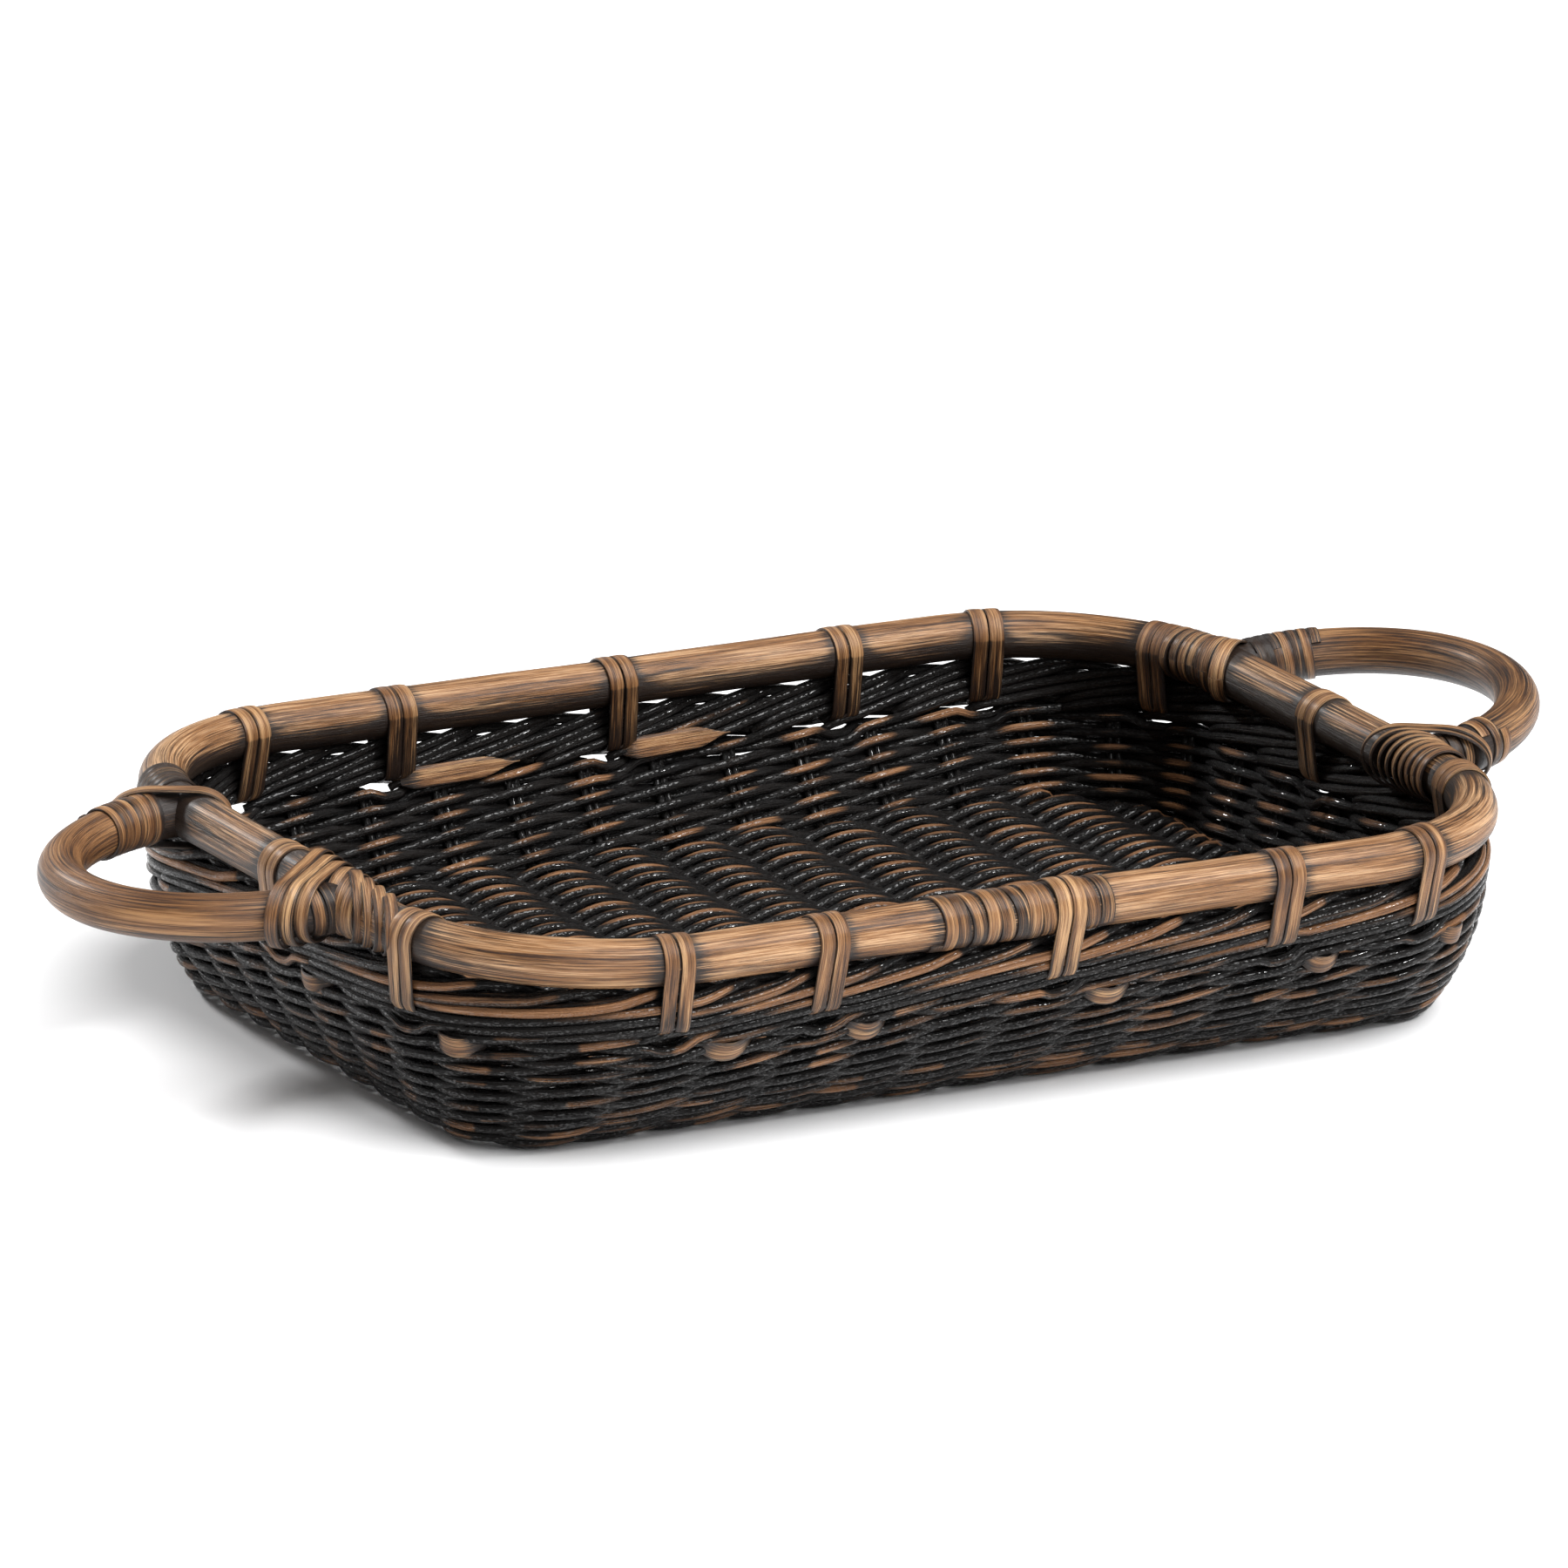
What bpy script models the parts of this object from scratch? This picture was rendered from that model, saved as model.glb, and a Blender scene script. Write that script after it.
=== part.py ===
"""Wicker log basket: a shallow woven tray under a bent pole rim, with two lashed pole handles.

Built the way the real one is: stake pairs threaded through a woven floor and wall, a rope-like
border on top of the wall, a scarfed pole rim strapped down over the border with flat peel, and two
loop handles nailed and lashed to the rim. Metres, +X along the length, +Z up, resting on Z = 0.
"""
import math

import bmesh
import bpy
from mathutils import Vector

GAP = 0.0003            # clearance between touching pieces

CENTRE = (0.00225, 0.00075, 0.0)    # from the middle of the whole basket's box to the tray's

# Rim pole, centreline
POLE_R = 0.0125
RIM_X = 0.308
RIM_Y = 0.219
RIM_CORNER = 0.115
RIM_Z = 0.106
POLE_SIDES = 12
CORNER_STEPS = 6

# Splice on the front side of the rim
SPLICE_X = -0.015
SPLICE_LEN = 0.100
SCARF_LEN = 0.070
SCARF_SLOT = 0.0004

# Handles: half-ellipse loops, each bent by hand and so a little different
HANDLE_R = 0.0122
HANDLE_HALF = {"left": 0.087, "right": 0.095}       # half the spread of the two ends
HANDLE_Y = {"left": 0.0205, "right": 0.014}         # middle of the loop along the short side
HANDLE_REACH = {"left": 0.107, "right": 0.1025}
HANDLE_RISE = {"left": -0.006, "right": 0.011}
HANDLE_OUT = 0.010
HANDLE_STEPS = 20

# Woven shell
WALL_T = 0.014
BORDER_T = 0.013
BORDER_H = 0.0195
BORDER_CHAMFER = 0.004
BASE_T = 0.014
TOP_OUT = 0.002          # wall stands this far outside the pole's centreline at the top
INSET_X = 0.035          # wall draws in this much by the floor, at the short ends
INSET_Y = 0.066          # and at the long sides
INSET_C = 0.095          # and its corner radius shrinks by this
INSET_POWER = 2.4        # the wall draws in late, near the floor
CORNER_POWER = 2.2       # and its corners tighten sooner
FLOOR_EDGE = 0.0235      # height of the floor's middle surface at its edge; the wall below is a foot
FLOOR_SAG = 0.0085       # and how far it hangs lower in the middle
FLOOR_RUN = 0.150        # the sag comes in over this width
FLOOR_FLAT = 0.12        # and levels out at this share of it

# Stakes: pairs of round core
STAKE_D = 0.0042
STAKE_PITCH = 0.0429
STAKE_SHIFT = -0.0165    # the long-side stakes stand this far along X from even spacing
END_SHIFT = {"right": -0.008, "left": -0.0155}      # and the middle end stakes this far round
LONG_STAKES = 11
END_STAKES = (-2, 0, 2)
STAKES_ROUND = 44
STAKE_ROOM = 0.0008

# Flat peel
PEEL_T = 0.0012
PEEL_W = 0.0080
PEEL_PITCH = 0.0088
BINDING_TURNS = 3
SPLICE_TURNS = 7
LASH_W = 0.022

# Straps: distances along the rim from the middle of each side
STRAPS_FRONT = (-0.210, -0.124, 0.012, 0.141, 0.226)
STRAPS_BACK = (-0.217, -0.1284, 0.0026, 0.1376, 0.224)
STRAPS_RIGHT = (-0.130, 0.009, 0.155)
STRAPS_LEFT = (0.0017, 0.1307)
STRAP_ROOM = 0.0118      # half of the straight stretch of pole under a strap on a bend
WINDOW_W = 0.0190        # opening in the top of the wall that a strap passes through
WINDOW_H = 0.0075
BORDER_TOP = RIM_Z - POLE_R - PEEL_T - 2 * GAP

NAIL_R = 0.0011
NAIL_HEAD_R = 0.0026
NAIL_HEAD_T = 0.0011

LOOKS = {
    "pole": ((0.20, 0.105, 0.05), 0.45),
    "peel": ((0.17, 0.085, 0.04), 0.4),
    "weave": ((0.022, 0.015, 0.012), 0.38),
    "stake": ((0.03, 0.02, 0.015), 0.5),
    "nail": ((0.35, 0.34, 0.33), 0.4),
}


def clear_scene():
    for obj in list(bpy.data.objects):
        bpy.data.objects.remove(obj, do_unlink=True)


def material(kind):
    found = bpy.data.materials.get(kind)
    if found:
        return found
    found = bpy.data.materials.new(kind)
    found.use_nodes = True
    shader = found.node_tree.nodes["Principled BSDF"]
    colour, rough = LOOKS[kind]
    shader.inputs["Base Color"].default_value = (*colour, 1.0)
    shader.inputs["Roughness"].default_value = rough
    shader.inputs["Metallic"].default_value = 1.0 if kind == "nail" else 0.0
    return found


def add_mesh(name, points, faces, kind, smooth=True, helper=False):
    """One object, with its origin at the middle of its points."""
    middle = sum((Vector(p) for p in points), Vector()) / len(points)
    mesh = bpy.data.meshes.new(name)
    mesh.from_pydata([Vector(p) - middle for p in points], [], faces)
    work = bmesh.new()
    work.from_mesh(mesh)
    bmesh.ops.recalc_face_normals(work, faces=work.faces)
    if work.calc_volume(signed=True) < 0:
        bmesh.ops.reverse_faces(work, faces=work.faces)
    work.to_mesh(mesh)
    work.free()
    for face in mesh.polygons:
        face.use_smooth = smooth and len(face.vertices) == 4
    mesh.materials.append(material(kind))
    obj = bpy.data.objects.new(name, mesh)
    obj.location = middle
    bpy.context.scene.collection.objects.link(obj)
    if helper:
        obj.hide_render = True
        obj.display_type = "WIRE"
    return obj


def cut(obj, cutter, operation="DIFFERENCE"):
    modifier = obj.modifiers.new("cut", "BOOLEAN")
    modifier.operation = operation
    modifier.solver = "EXACT"
    modifier.object = cutter


def rounded_rectangle(half_x, half_y, radius):
    """Position and outward normal at a distance along a closed path that starts in the middle of
    the +X side and runs counter-clockwise, with the path's length."""
    flat_y, flat_x, arc = half_y - radius, half_x - radius, math.pi / 2 * radius
    length = 4 * (flat_x + flat_y + arc)

    def at(distance):
        d = distance % length
        quarter = int(d // (length / 4))
        d -= quarter * length / 4
        first, second = (flat_y, flat_x) if quarter % 2 == 0 else (flat_x, flat_y)
        out = half_x if quarter % 2 == 0 else half_y
        if d <= first:
            x, y, turn = out, d, 0.0
        elif d <= first + arc:
            turn = (d - first) / radius
            x = out - radius + radius * math.cos(turn)
            y = first + radius * math.sin(turn)
        else:
            turn = math.pi / 2
            x, y = out - radius - (d - first - arc), first + radius
        angle = quarter * math.pi / 2
        c, s = math.cos(angle), math.sin(angle)
        n = angle + turn
        return (Vector((x * c - y * s, x * s + y * c)), Vector((math.cos(n), math.sin(n))))

    return at, length


def wall_ring(z, turn_in=0.0):
    """Half sizes and corner radius of the wall's middle surface at height z."""
    depth = (RIM_Z - z) / RIM_Z
    share = depth ** INSET_POWER
    return (
        RIM_X + TOP_OUT - INSET_X * share - turn_in,
        RIM_Y + TOP_OUT - INSET_Y * share - turn_in,
        RIM_CORNER + TOP_OUT - INSET_C * depth ** CORNER_POWER - 0.7 * turn_in,
    )


def stake_distance(column, length):
    """Distance along a wall ring to a stake column: long-side stakes stay parallel, and the rest
    fan over the short ends and corners."""
    quarter = length / 4
    half = STAKES_ROUND // 4
    side, rest = divmod(column, half)
    if side % 2 == 1:
        rest = half - rest
    long_part = (LONG_STAKES - 1) / 2
    edge = quarter - long_part * STAKE_PITCH - (STAKE_SHIFT if side in (0, 3) else -STAKE_SHIFT)
    start = END_SHIFT["right" if side in (0, 3) else "left"] * (1 if side % 2 == 0 else -1)
    split = half - long_part
    if rest <= split:
        d = start + (edge - start) * rest / split
    else:
        d = edge + (rest - split) * STAKE_PITCH
    return side * quarter + (d if side % 2 == 0 else quarter - d)


# Heights of the wall's middle surface, from the foot up; stakes start at the floor's edge
WALL_LEVELS = (0.0066, 0.0140, FLOOR_EDGE, 0.0340, 0.0500)
WALL_TOP = BORDER_TOP - BORDER_H - GAP


def sweep(path, rings, closed):
    """Faces and points of rings of points carried along a path."""
    count, size = len(rings), len(rings[0])
    points = [p for ring in rings for p in ring]
    faces = []
    for i in range(count if closed else count - 1):
        j = (i + 1) % count
        for k in range(size):
            m = (k + 1) % size
            faces.append((i * size + k, i * size + m, j * size + m, j * size + k))
    if not closed:
        faces.append(tuple(reversed(range(size))))
        faces.append(tuple((count - 1) * size + k for k in range(size)))
    return points, faces


def frames(path, closed, up=Vector((0, 0, 1))):
    """Side and up directions at each point of a path."""
    count = len(path)
    found = []
    for i in range(count):
        before = path[(i - 1) % count] if closed else path[max(i - 1, 0)]
        after = path[(i + 1) % count] if closed else path[min(i + 1, count - 1)]
        along = (after - before).normalized()
        side = along.cross(up).normalized()
        found.append((side, side.cross(along).normalized()))
    return found


def tube(name, path, radius, kind, closed=False, sides=POLE_SIDES, helper=False):
    rings = []
    for point, (side, up) in zip(path, frames(path, closed)):
        rings.append([
            point + radius * (math.cos(a) * side + math.sin(a) * up)
            for a in (2 * math.pi * (k + 0.5) / sides for k in range(sides))
        ])
    return add_mesh(name, *sweep(path, rings, closed), kind, helper=helper)


def strap_distances():
    """Where the straps sit, as distances round the rim's path."""
    _, length = rounded_rectangle(RIM_X, RIM_Y, RIM_CORNER)
    found = [0.75 * length + x for x in STRAPS_FRONT] + [0.25 * length - x for x in STRAPS_BACK]
    return found + [y % length for y in STRAPS_RIGHT] + [0.5 * length + y for y in STRAPS_LEFT]


def creases(quarter):
    """Where one corner of a ring is creased, as shares of its arc: in even steps, except that a
    strap keeps a straight stretch to itself."""
    _, length = rounded_rectangle(RIM_X, RIM_Y, RIM_CORNER)
    arc = math.pi / 2 * RIM_CORNER
    first = (RIM_Y if quarter % 2 == 0 else RIM_X) - RIM_CORNER
    straps = [d - quarter * length / 4 - first for d in strap_distances()]
    straps = [d for d in straps if 0 < d < arc]
    inner = [arc * i / CORNER_STEPS for i in range(1, CORNER_STEPS)]
    found = [d for d in inner if all(abs(d - s) > 1.6 * STRAP_ROOM for s in straps)]
    found += [s + k * STRAP_ROOM for s in straps for k in (-1, 1)]
    return [d / arc for d in sorted([0.0, *found, arc])]


CREASES = [creases(quarter) for quarter in range(4)]


def ring_distances(half_x, half_y, radius):
    """The steps round a ring. They match on every ring, so that the faces of nested rings stay
    parallel."""
    arc = math.pi / 2 * radius
    flats = (half_y - radius, half_x - radius)
    found = []
    for quarter in range(4):
        first, second = flats if quarter % 2 == 0 else flats[::-1]
        start = quarter * (sum(flats) + arc)
        found += [start, start + first / 2]
        found += [start + first + arc * share for share in CREASES[quarter]]
        found += [start + first + arc + second / 2]
    return found


def ring_stops(half_x, half_y, radius):
    """Points and normals at the steps round a ring."""
    at, _ = rounded_rectangle(half_x, half_y, radius)
    return [at(d) for d in ring_distances(half_x, half_y, radius)]


def rim_path():
    return [Vector((*point, RIM_Z)) for point, _ in ring_stops(RIM_X, RIM_Y, RIM_CORNER)]


def box(name, size, location, turn, kind="weave", helper=True):
    x, y, z = (s / 2 for s in size)
    corners = [(i * x, j * y, k * z) for i in (-1, 1) for j in (-1, 1) for k in (-1, 1)]
    faces = [(0, 1, 3, 2), (4, 6, 7, 5), (0, 4, 5, 1), (2, 3, 7, 6), (0, 2, 6, 4), (1, 5, 7, 3)]
    obj = add_mesh(name, corners, faces, kind, smooth=False, helper=helper)
    obj.location = location
    obj.rotation_euler = turn
    return obj


def build_rim():
    """The pole ring, opened by a long slanted scarf on the front side."""
    rim = tube("rim_pole", rim_path(), POLE_R, "pole", closed=True)
    slope = math.atan2(2 * POLE_R, SCARF_LEN)
    slot = box("scarf_slot", (0.12, 0.04, SCARF_SLOT), (SPLICE_X, -RIM_Y, RIM_Z), (0, slope, 0))
    cut(rim, slot)
    for i, offset in enumerate((-0.012, 0.012)):
        hole = nail_solid(f"splice_nail_hole_{i}", NAIL_R + GAP, NAIL_HEAD_R + GAP, 0.021, True,
                          overshoot=0.004)
        hole.location = (SPLICE_X + offset, -RIM_Y, RIM_Z + POLE_R - 0.0008)
        hole.rotation_euler = (math.pi, 0, 0)
        cut(rim, hole)
    return rim


def nail_solid(name, shank, head, length, helper, overshoot=0.0, sides=8):
    """A nail pointing along +Z from its head at the origin, with a flat end."""
    under = NAIL_HEAD_T + (GAP if helper else 0.0)
    profile = [(head, -overshoot), (head, under), (shank, under), (shank, length)]
    rings = [[Vector((r * math.cos(a), r * math.sin(a), z))
              for a in (2 * math.pi * k / sides for k in range(sides))] for r, z in profile]
    obj = add_mesh(name, *sweep(None, rings, False), "nail", smooth=False, helper=helper)
    middle = sum((p for ring in rings for p in ring), Vector()) / (sides * len(rings))
    for vertex in obj.data.vertices:
        vertex.co += middle
    obj.location = (0, 0, 0)
    return obj


def handle_path(side, start=-1.0, end=1.0, steps=HANDLE_STEPS):
    """Centreline of a loop handle from its front end to its back end."""
    sign = -1 if side == "left" else 1
    path = []
    for i in range(steps + 1):
        t = math.pi / 2 * (start + (end - start) * i / steps)
        share = math.cos(t)
        x = RIM_X + HANDLE_OUT + (HANDLE_REACH[side] - HANDLE_OUT) * share
        y = HANDLE_Y[side] + HANDLE_HALF[side] * math.sin(t)
        path.append(Vector((sign * x, y, RIM_Z + HANDLE_RISE[side] * share)))
    return path


def handle_end(side, end):
    """Where a handle's centreline meets the short side: its place along Y."""
    return HANDLE_Y[side] + end * HANDLE_HALF[side]


def build_handle(side):
    """A loop whose two ends are scribed to sit against the outside of the rim pole."""
    sign = -1 if side == "left" else 1
    path = handle_path(side)
    lead = Vector((-sign * 0.012, 0, 0))
    path = [path[0] + lead, *path, path[-1] + lead]
    handle = tube(f"handle_{side}", path, HANDLE_R, "pole")
    scribe = bpy.data.objects.get("rim_scribe") or tube(
        "rim_scribe", rim_path(), POLE_R + GAP, "pole", closed=True, helper=True)
    cut(handle, scribe)
    inside = box(f"inside_{side}", (0.06, 0.3, 0.08), (sign * (RIM_X - 0.0281), 0, RIM_Z), (0, 0, 0))
    cut(handle, inside)
    for end in (-1, 1):
        hole = nail_solid(f"nail_hole_{side}_{end}", NAIL_R + GAP, NAIL_HEAD_R + GAP, 0.043, True)
        place_nail(hole, side, end)
        cut(handle, hole)
    return handle


def place_nail(obj, side, end):
    sign = -1 if side == "left" else 1
    obj.location = (sign * (RIM_X - POLE_R + 0.0004), handle_end(side, end), RIM_Z)
    obj.rotation_euler = (0, sign * math.pi / 2, 0)


def build_nails(rim):
    for side in ("left", "right"):
        for end, where in ((-1, "front"), (1, "back")):
            nail = nail_solid(f"handle_nail_{side}_{where}", NAIL_R, NAIL_HEAD_R, 0.040, False)
            place_nail(nail, side, end)
            hole = nail_solid(f"rim_nail_hole_{side}_{where}", NAIL_R + GAP, NAIL_HEAD_R + GAP,
                              0.043, True, overshoot=0.004)
            place_nail(hole, side, end)
            cut(rim, hole)
    for i, offset in enumerate((-0.012, 0.012)):
        nail = nail_solid(f"splice_nail_{i + 1}", NAIL_R, NAIL_HEAD_R, 0.019, False)
        nail.location = (SPLICE_X + offset, -RIM_Y, RIM_Z + POLE_R - 0.0008)
        nail.rotation_euler = (math.pi, 0, 0)


def ribbed_sleeve(name, path, radius, turns_per_rib, kind="peel", sides=POLE_SIDES):
    """Peel wound side by side round a pole, as one hollow sleeve with a groove at each turn."""
    inner, outer = radius + GAP, radius + GAP + PEEL_T
    rings = []
    frame = frames(path, False)
    count = len(path)
    order = list(range(count)) + list(reversed(range(count)))
    for step, i in enumerate(order):
        if step < count:
            rib = outer if (i % turns_per_rib) else outer - 0.45 * PEEL_T
            r = rib
        else:
            r = inner
        side, up = frame[i]
        rings.append([path[i] + r * (math.cos(a) * side + math.sin(a) * up)
                      for a in (2 * math.pi * (k + 0.5) / sides for k in range(sides))])
    return add_mesh(name, *sweep(None, rings, True), kind)


def build_bindings():
    start = SPLICE_X - SPLICE_LEN / 2
    path = [Vector((start + SPLICE_LEN * i / (2 * SPLICE_TURNS), -RIM_Y, RIM_Z))
            for i in range(2 * SPLICE_TURNS + 1)]
    ribbed_sleeve("rim_splice_binding", path, POLE_R, 2)
    for side in ("left", "right"):
        for end, where in ((-1, "front"), (1, "back")):
            path = handle_path(side, end * 0.88, end * 0.73, 2 * BINDING_TURNS)
            ribbed_sleeve(f"handle_binding_{side}_{where}", path, HANDLE_R, 2)


def strap_section(place):
    """Closed outline round pole and border: outward offset and height, from inside the foot of the
    border, out under it, up over the pole and down inside."""
    clear = PEEL_T / 2 + GAP + 0.0003
    half, foot = BORDER_T / 2, BORDER_TOP - BORDER_H
    low, high = wall_offset(place, foot), wall_offset(place, foot + BORDER_CHAMFER)
    middle = facet_frame(place)[0]
    bound = middle.y < 0 and abs(middle.x - SPLICE_X) < SPLICE_LEN / 2 + PEEL_PITCH
    padding = PEEL_T + GAP if bound else 0.0
    top = (POLE_R + padding + PEEL_T / 2 + GAP) / math.cos(math.pi / 12)
    over = [(top * math.cos(math.pi * k / 6), RIM_Z + top * math.sin(math.pi * k / 6))
            for k in range(7)]
    return [
        (low - half + 0.0025, foot - clear), (low + half - 0.0025, foot - clear),
        (high + half + clear, foot + BORDER_CHAMFER), *over,
        (high - half - clear, foot + BORDER_CHAMFER),
    ]


def strap_places():
    """Where each strap sits on the rim's path: a step round it and the share of the way along."""
    steps = ring_distances(RIM_X, RIM_Y, RIM_CORNER)
    _, length = rounded_rectangle(RIM_X, RIM_Y, RIM_CORNER)
    found = []
    for distance in strap_distances():
        step = max(i for i, start in enumerate(steps) if start <= distance)
        end = steps[step + 1] if step + 1 < len(steps) else length
        found.append((step, (distance - steps[step]) / (end - steps[step])))
    return found


def facet_frame(place):
    """Point on the rim's path, the direction along it and the outward normal, at a strap."""
    stops = ring_stops(RIM_X, RIM_Y, RIM_CORNER)
    one, two = stops[place[0]][0], stops[(place[0] + 1) % len(stops)][0]
    along = (two - one).normalized()
    return one.lerp(two, place[1]), along, Vector((along.y, -along.x))


def wall_offset(place, z):
    """How far the middle of the weave stands outside the pole's centreline at height z."""
    middle, _, normal = facet_frame(place)
    return (ring_stops(*wall_ring(z))[place[0]][0] - middle).dot(normal)


def build_straps():
    """Two turns of one strip of peel round pole and border, stepping sideways under the border."""
    for number, place in enumerate(strap_places(), 1):
        middle, along, normal = facet_frame(place)
        wide = Vector((*along, 0))
        outline = strap_section(place)
        turns = [(k, -0.5) for k in range(len(outline))]
        turns += [(k, 0.5) for k in range(len(outline))]
        path = []
        for k, step in turns:
            offset, height = outline[k]
            flat = middle + normal * offset + along * (step * PEEL_PITCH)
            path.append(Vector((*flat, height)))
        rings = []
        for i, point in enumerate(path):
            run = path[min(i + 1, len(path) - 1)] - path[max(i - 1, 0)]
            run -= wide * run.dot(wide)
            lift = run.normalized().cross(wide)
            w, t = wide * PEEL_W / 2, lift * PEEL_T / 2
            rings.append([point + w + t, point - w + t, point - w - t, point + w - t])
        add_mesh(f"rim_strap_{number:02d}", *sweep(None, rings, False), "peel")


def junction_shell(name, side, end, radius_more, helper):
    """Rim pole and handle end as one solid, grown by radius_more."""
    sign = -1 if side == "left" else 1
    rod = tube(f"{name}_rim", rim_path(), POLE_R + radius_more, "peel", closed=True, helper=helper)
    path = handle_path(side, end * 1.0, end * 0.86, 4)
    path = [path[0] + Vector((-sign * 0.016, 0, 0)), *path]
    arm = tube(f"{name}_arm", path, HANDLE_R + radius_more, "peel", helper=helper)
    return rod, arm


def build_lashings():
    """Crossed turns of peel over the rim and each handle end, cut from a close-fitting skin."""
    rim_in = tube("lash_rim_in", rim_path(), POLE_R + GAP, "peel", closed=True, helper=True)
    for side in ("left", "right"):
        sign = -1 if side == "left" else 1
        for end, where in ((-1, "front"), (1, "back")):
            centre = Vector((sign * (RIM_X + 0.004), handle_end(side, end), RIM_Z))
            slabs = []
            for lean in (-1, 1):
                slab = box(f"lash_slab_{side}_{where}_{lean}", (0.070, LASH_W, 0.05), centre,
                           (0, 0, sign * lean * math.radians(48)))
                slabs.append(slab)
            rod, arm = junction_shell(f"lash_skin_{side}_{where}", side, end, GAP + PEEL_T, True)
            arm_in = junction_arm(f"lash_arm_in_{side}_{where}", side, end, GAP)
            block = box(f"handle_lashing_{side}_{where}", (0.039, 0.064, 0.05), centre, (0, 0, 0),
                        kind="peel", helper=False)
            cut(rod, arm, "UNION")
            cut(slabs[0], slabs[1], "UNION")
            cut(block, slabs[0], "INTERSECT")
            cut(block, rod, "INTERSECT")
            cut(block, rim_in)
            cut(block, arm_in)


def junction_arm(name, side, end, radius_more):
    sign = -1 if side == "left" else 1
    path = handle_path(side, end * 1.0, end * 0.86, 4)
    path = [path[0] + Vector((-sign * 0.016, 0, 0)), *path]
    return tube(name, path, HANDLE_R + radius_more, "peel", helper=True)


def build_wall():
    """The wall below the border: a thin curved ring, thickened square to its middle surface."""
    levels = [*WALL_LEVELS, WALL_TOP]
    stops = [ring_stops(*wall_ring(z)) for z in levels]
    rings = []
    for i in range(len(stops[0])):
        column = [(Vector((*ring[i][0], z)), Vector((*ring[i][1], 0))) for ring, z in zip(stops, levels)]
        outer, inner = [], []
        for j, (point, normal) in enumerate(column):
            before, after = column[max(j - 1, 0)][0], column[min(j + 1, len(column) - 1)][0]
            run = after - before
            tangent = Vector((-normal.y, normal.x, 0))
            run -= tangent * run.dot(tangent)
            out = tangent.cross(run).normalized()
            if j == len(column) - 1:
                out = normal
            outer.append(point + out * WALL_T / 2)
            inner.append(point - out * WALL_T / 2)
        outer[0].z = inner[0].z = 0.0
        rings.append(outer + list(reversed(inner)))
    return add_mesh("side_weave", *sweep(None, rings, True), "weave")


def build_border():
    """The rope-like border between the wall and the pole, as one closed ring."""
    top = BORDER_TOP
    rings = []
    half = BORDER_T / 2
    foot = top - BORDER_H
    section = ((half - 0.0015, top), (half, foot + BORDER_CHAMFER), (half - 0.003, foot),
               (-half + 0.003, foot), (-half, foot + BORDER_CHAMFER), (-half + 0.0015, top))
    levels = [ring_stops(*wall_ring(z)) for _, z in section]
    for i in range(len(levels[0])):
        rings.append([Vector((*(ring[i][0] + ring[i][1] * o), z))
                      for ring, (o, z) in zip(levels, section)])
    return add_mesh("border_weave", *sweep(None, rings, True), "weave")


def floor_height(share):
    """Height of the floor's middle surface, from 0 in the middle to 1 at the edge."""
    return FLOOR_EDGE - FLOOR_SAG * (1 - share * share)


def floor_ring(z, share):
    """Half sizes and radius of the floor at height z, inside the sloping wall."""
    sizes = []
    for half, inset in zip(wall_ring(z), (INSET_X, INSET_Y, 0.75 * INSET_Y)):
        slope = inset * INSET_POWER / RIM_Z * ((RIM_Z - z) / RIM_Z) ** (INSET_POWER - 1)
        sizes.append(half - WALL_T / 2 * math.sqrt(1 + slope * slope) - 2 * GAP)
    less = (1 - share) * FLOOR_RUN
    return sizes[0] - less, sizes[1] - less, max(sizes[2] - 0.85 * less, 0.010)


def floor_share(x, y):
    """How near the floor's edge a place is: 1 there, falling to FLOOR_FLAT inside."""
    half_x, half_y, _ = floor_ring(FLOOR_EDGE, 1.0)
    return max(1 - (half_x - abs(x)) / FLOOR_RUN, 1 - (half_y - abs(y)) / FLOOR_RUN, FLOOR_FLAT)


def build_base():
    """The floor: a slab of weave set inside the wall a little above its foot, sagging in the
    middle."""
    rings = []
    for way, shares in ((-1, (FLOOR_FLAT, 0.55, 1.0)), (1, (1.0, 0.55, FLOOR_FLAT))):
        for share in shares:
            z = floor_height(share) + way * BASE_T / 2
            rings.append([Vector((*point, z)) for point, _ in
                          ring_stops(*floor_ring(FLOOR_EDGE + way * BASE_T / 2, share))])
    return add_mesh("base_weave", *sweep(None, rings, False), "weave", smooth=False)


def pair_outline(grow):
    """Two cores side by side, as one flattened run: offsets across the pair and out of the wall."""
    r = STAKE_D / 2
    half, flat = 2 * r + grow, r + grow
    return [(half - r, -flat), (half, 0), (half - r, flat),
            (r - half, flat), (-half, 0), (r - half, -flat)]


def column_points(column):
    """A stake's way up the wall, inside the weave, from the floor to the border."""
    points = []
    for z in (*WALL_LEVELS[2:], WALL_TOP, WALL_TOP + 0.010):
        at, length = rounded_rectangle(*wall_ring(z))
        flat, normal = at(stake_distance(column, length))
        points.append((Vector((*flat, z)), Vector((-normal.y, normal.x, 0))))
    return points


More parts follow.
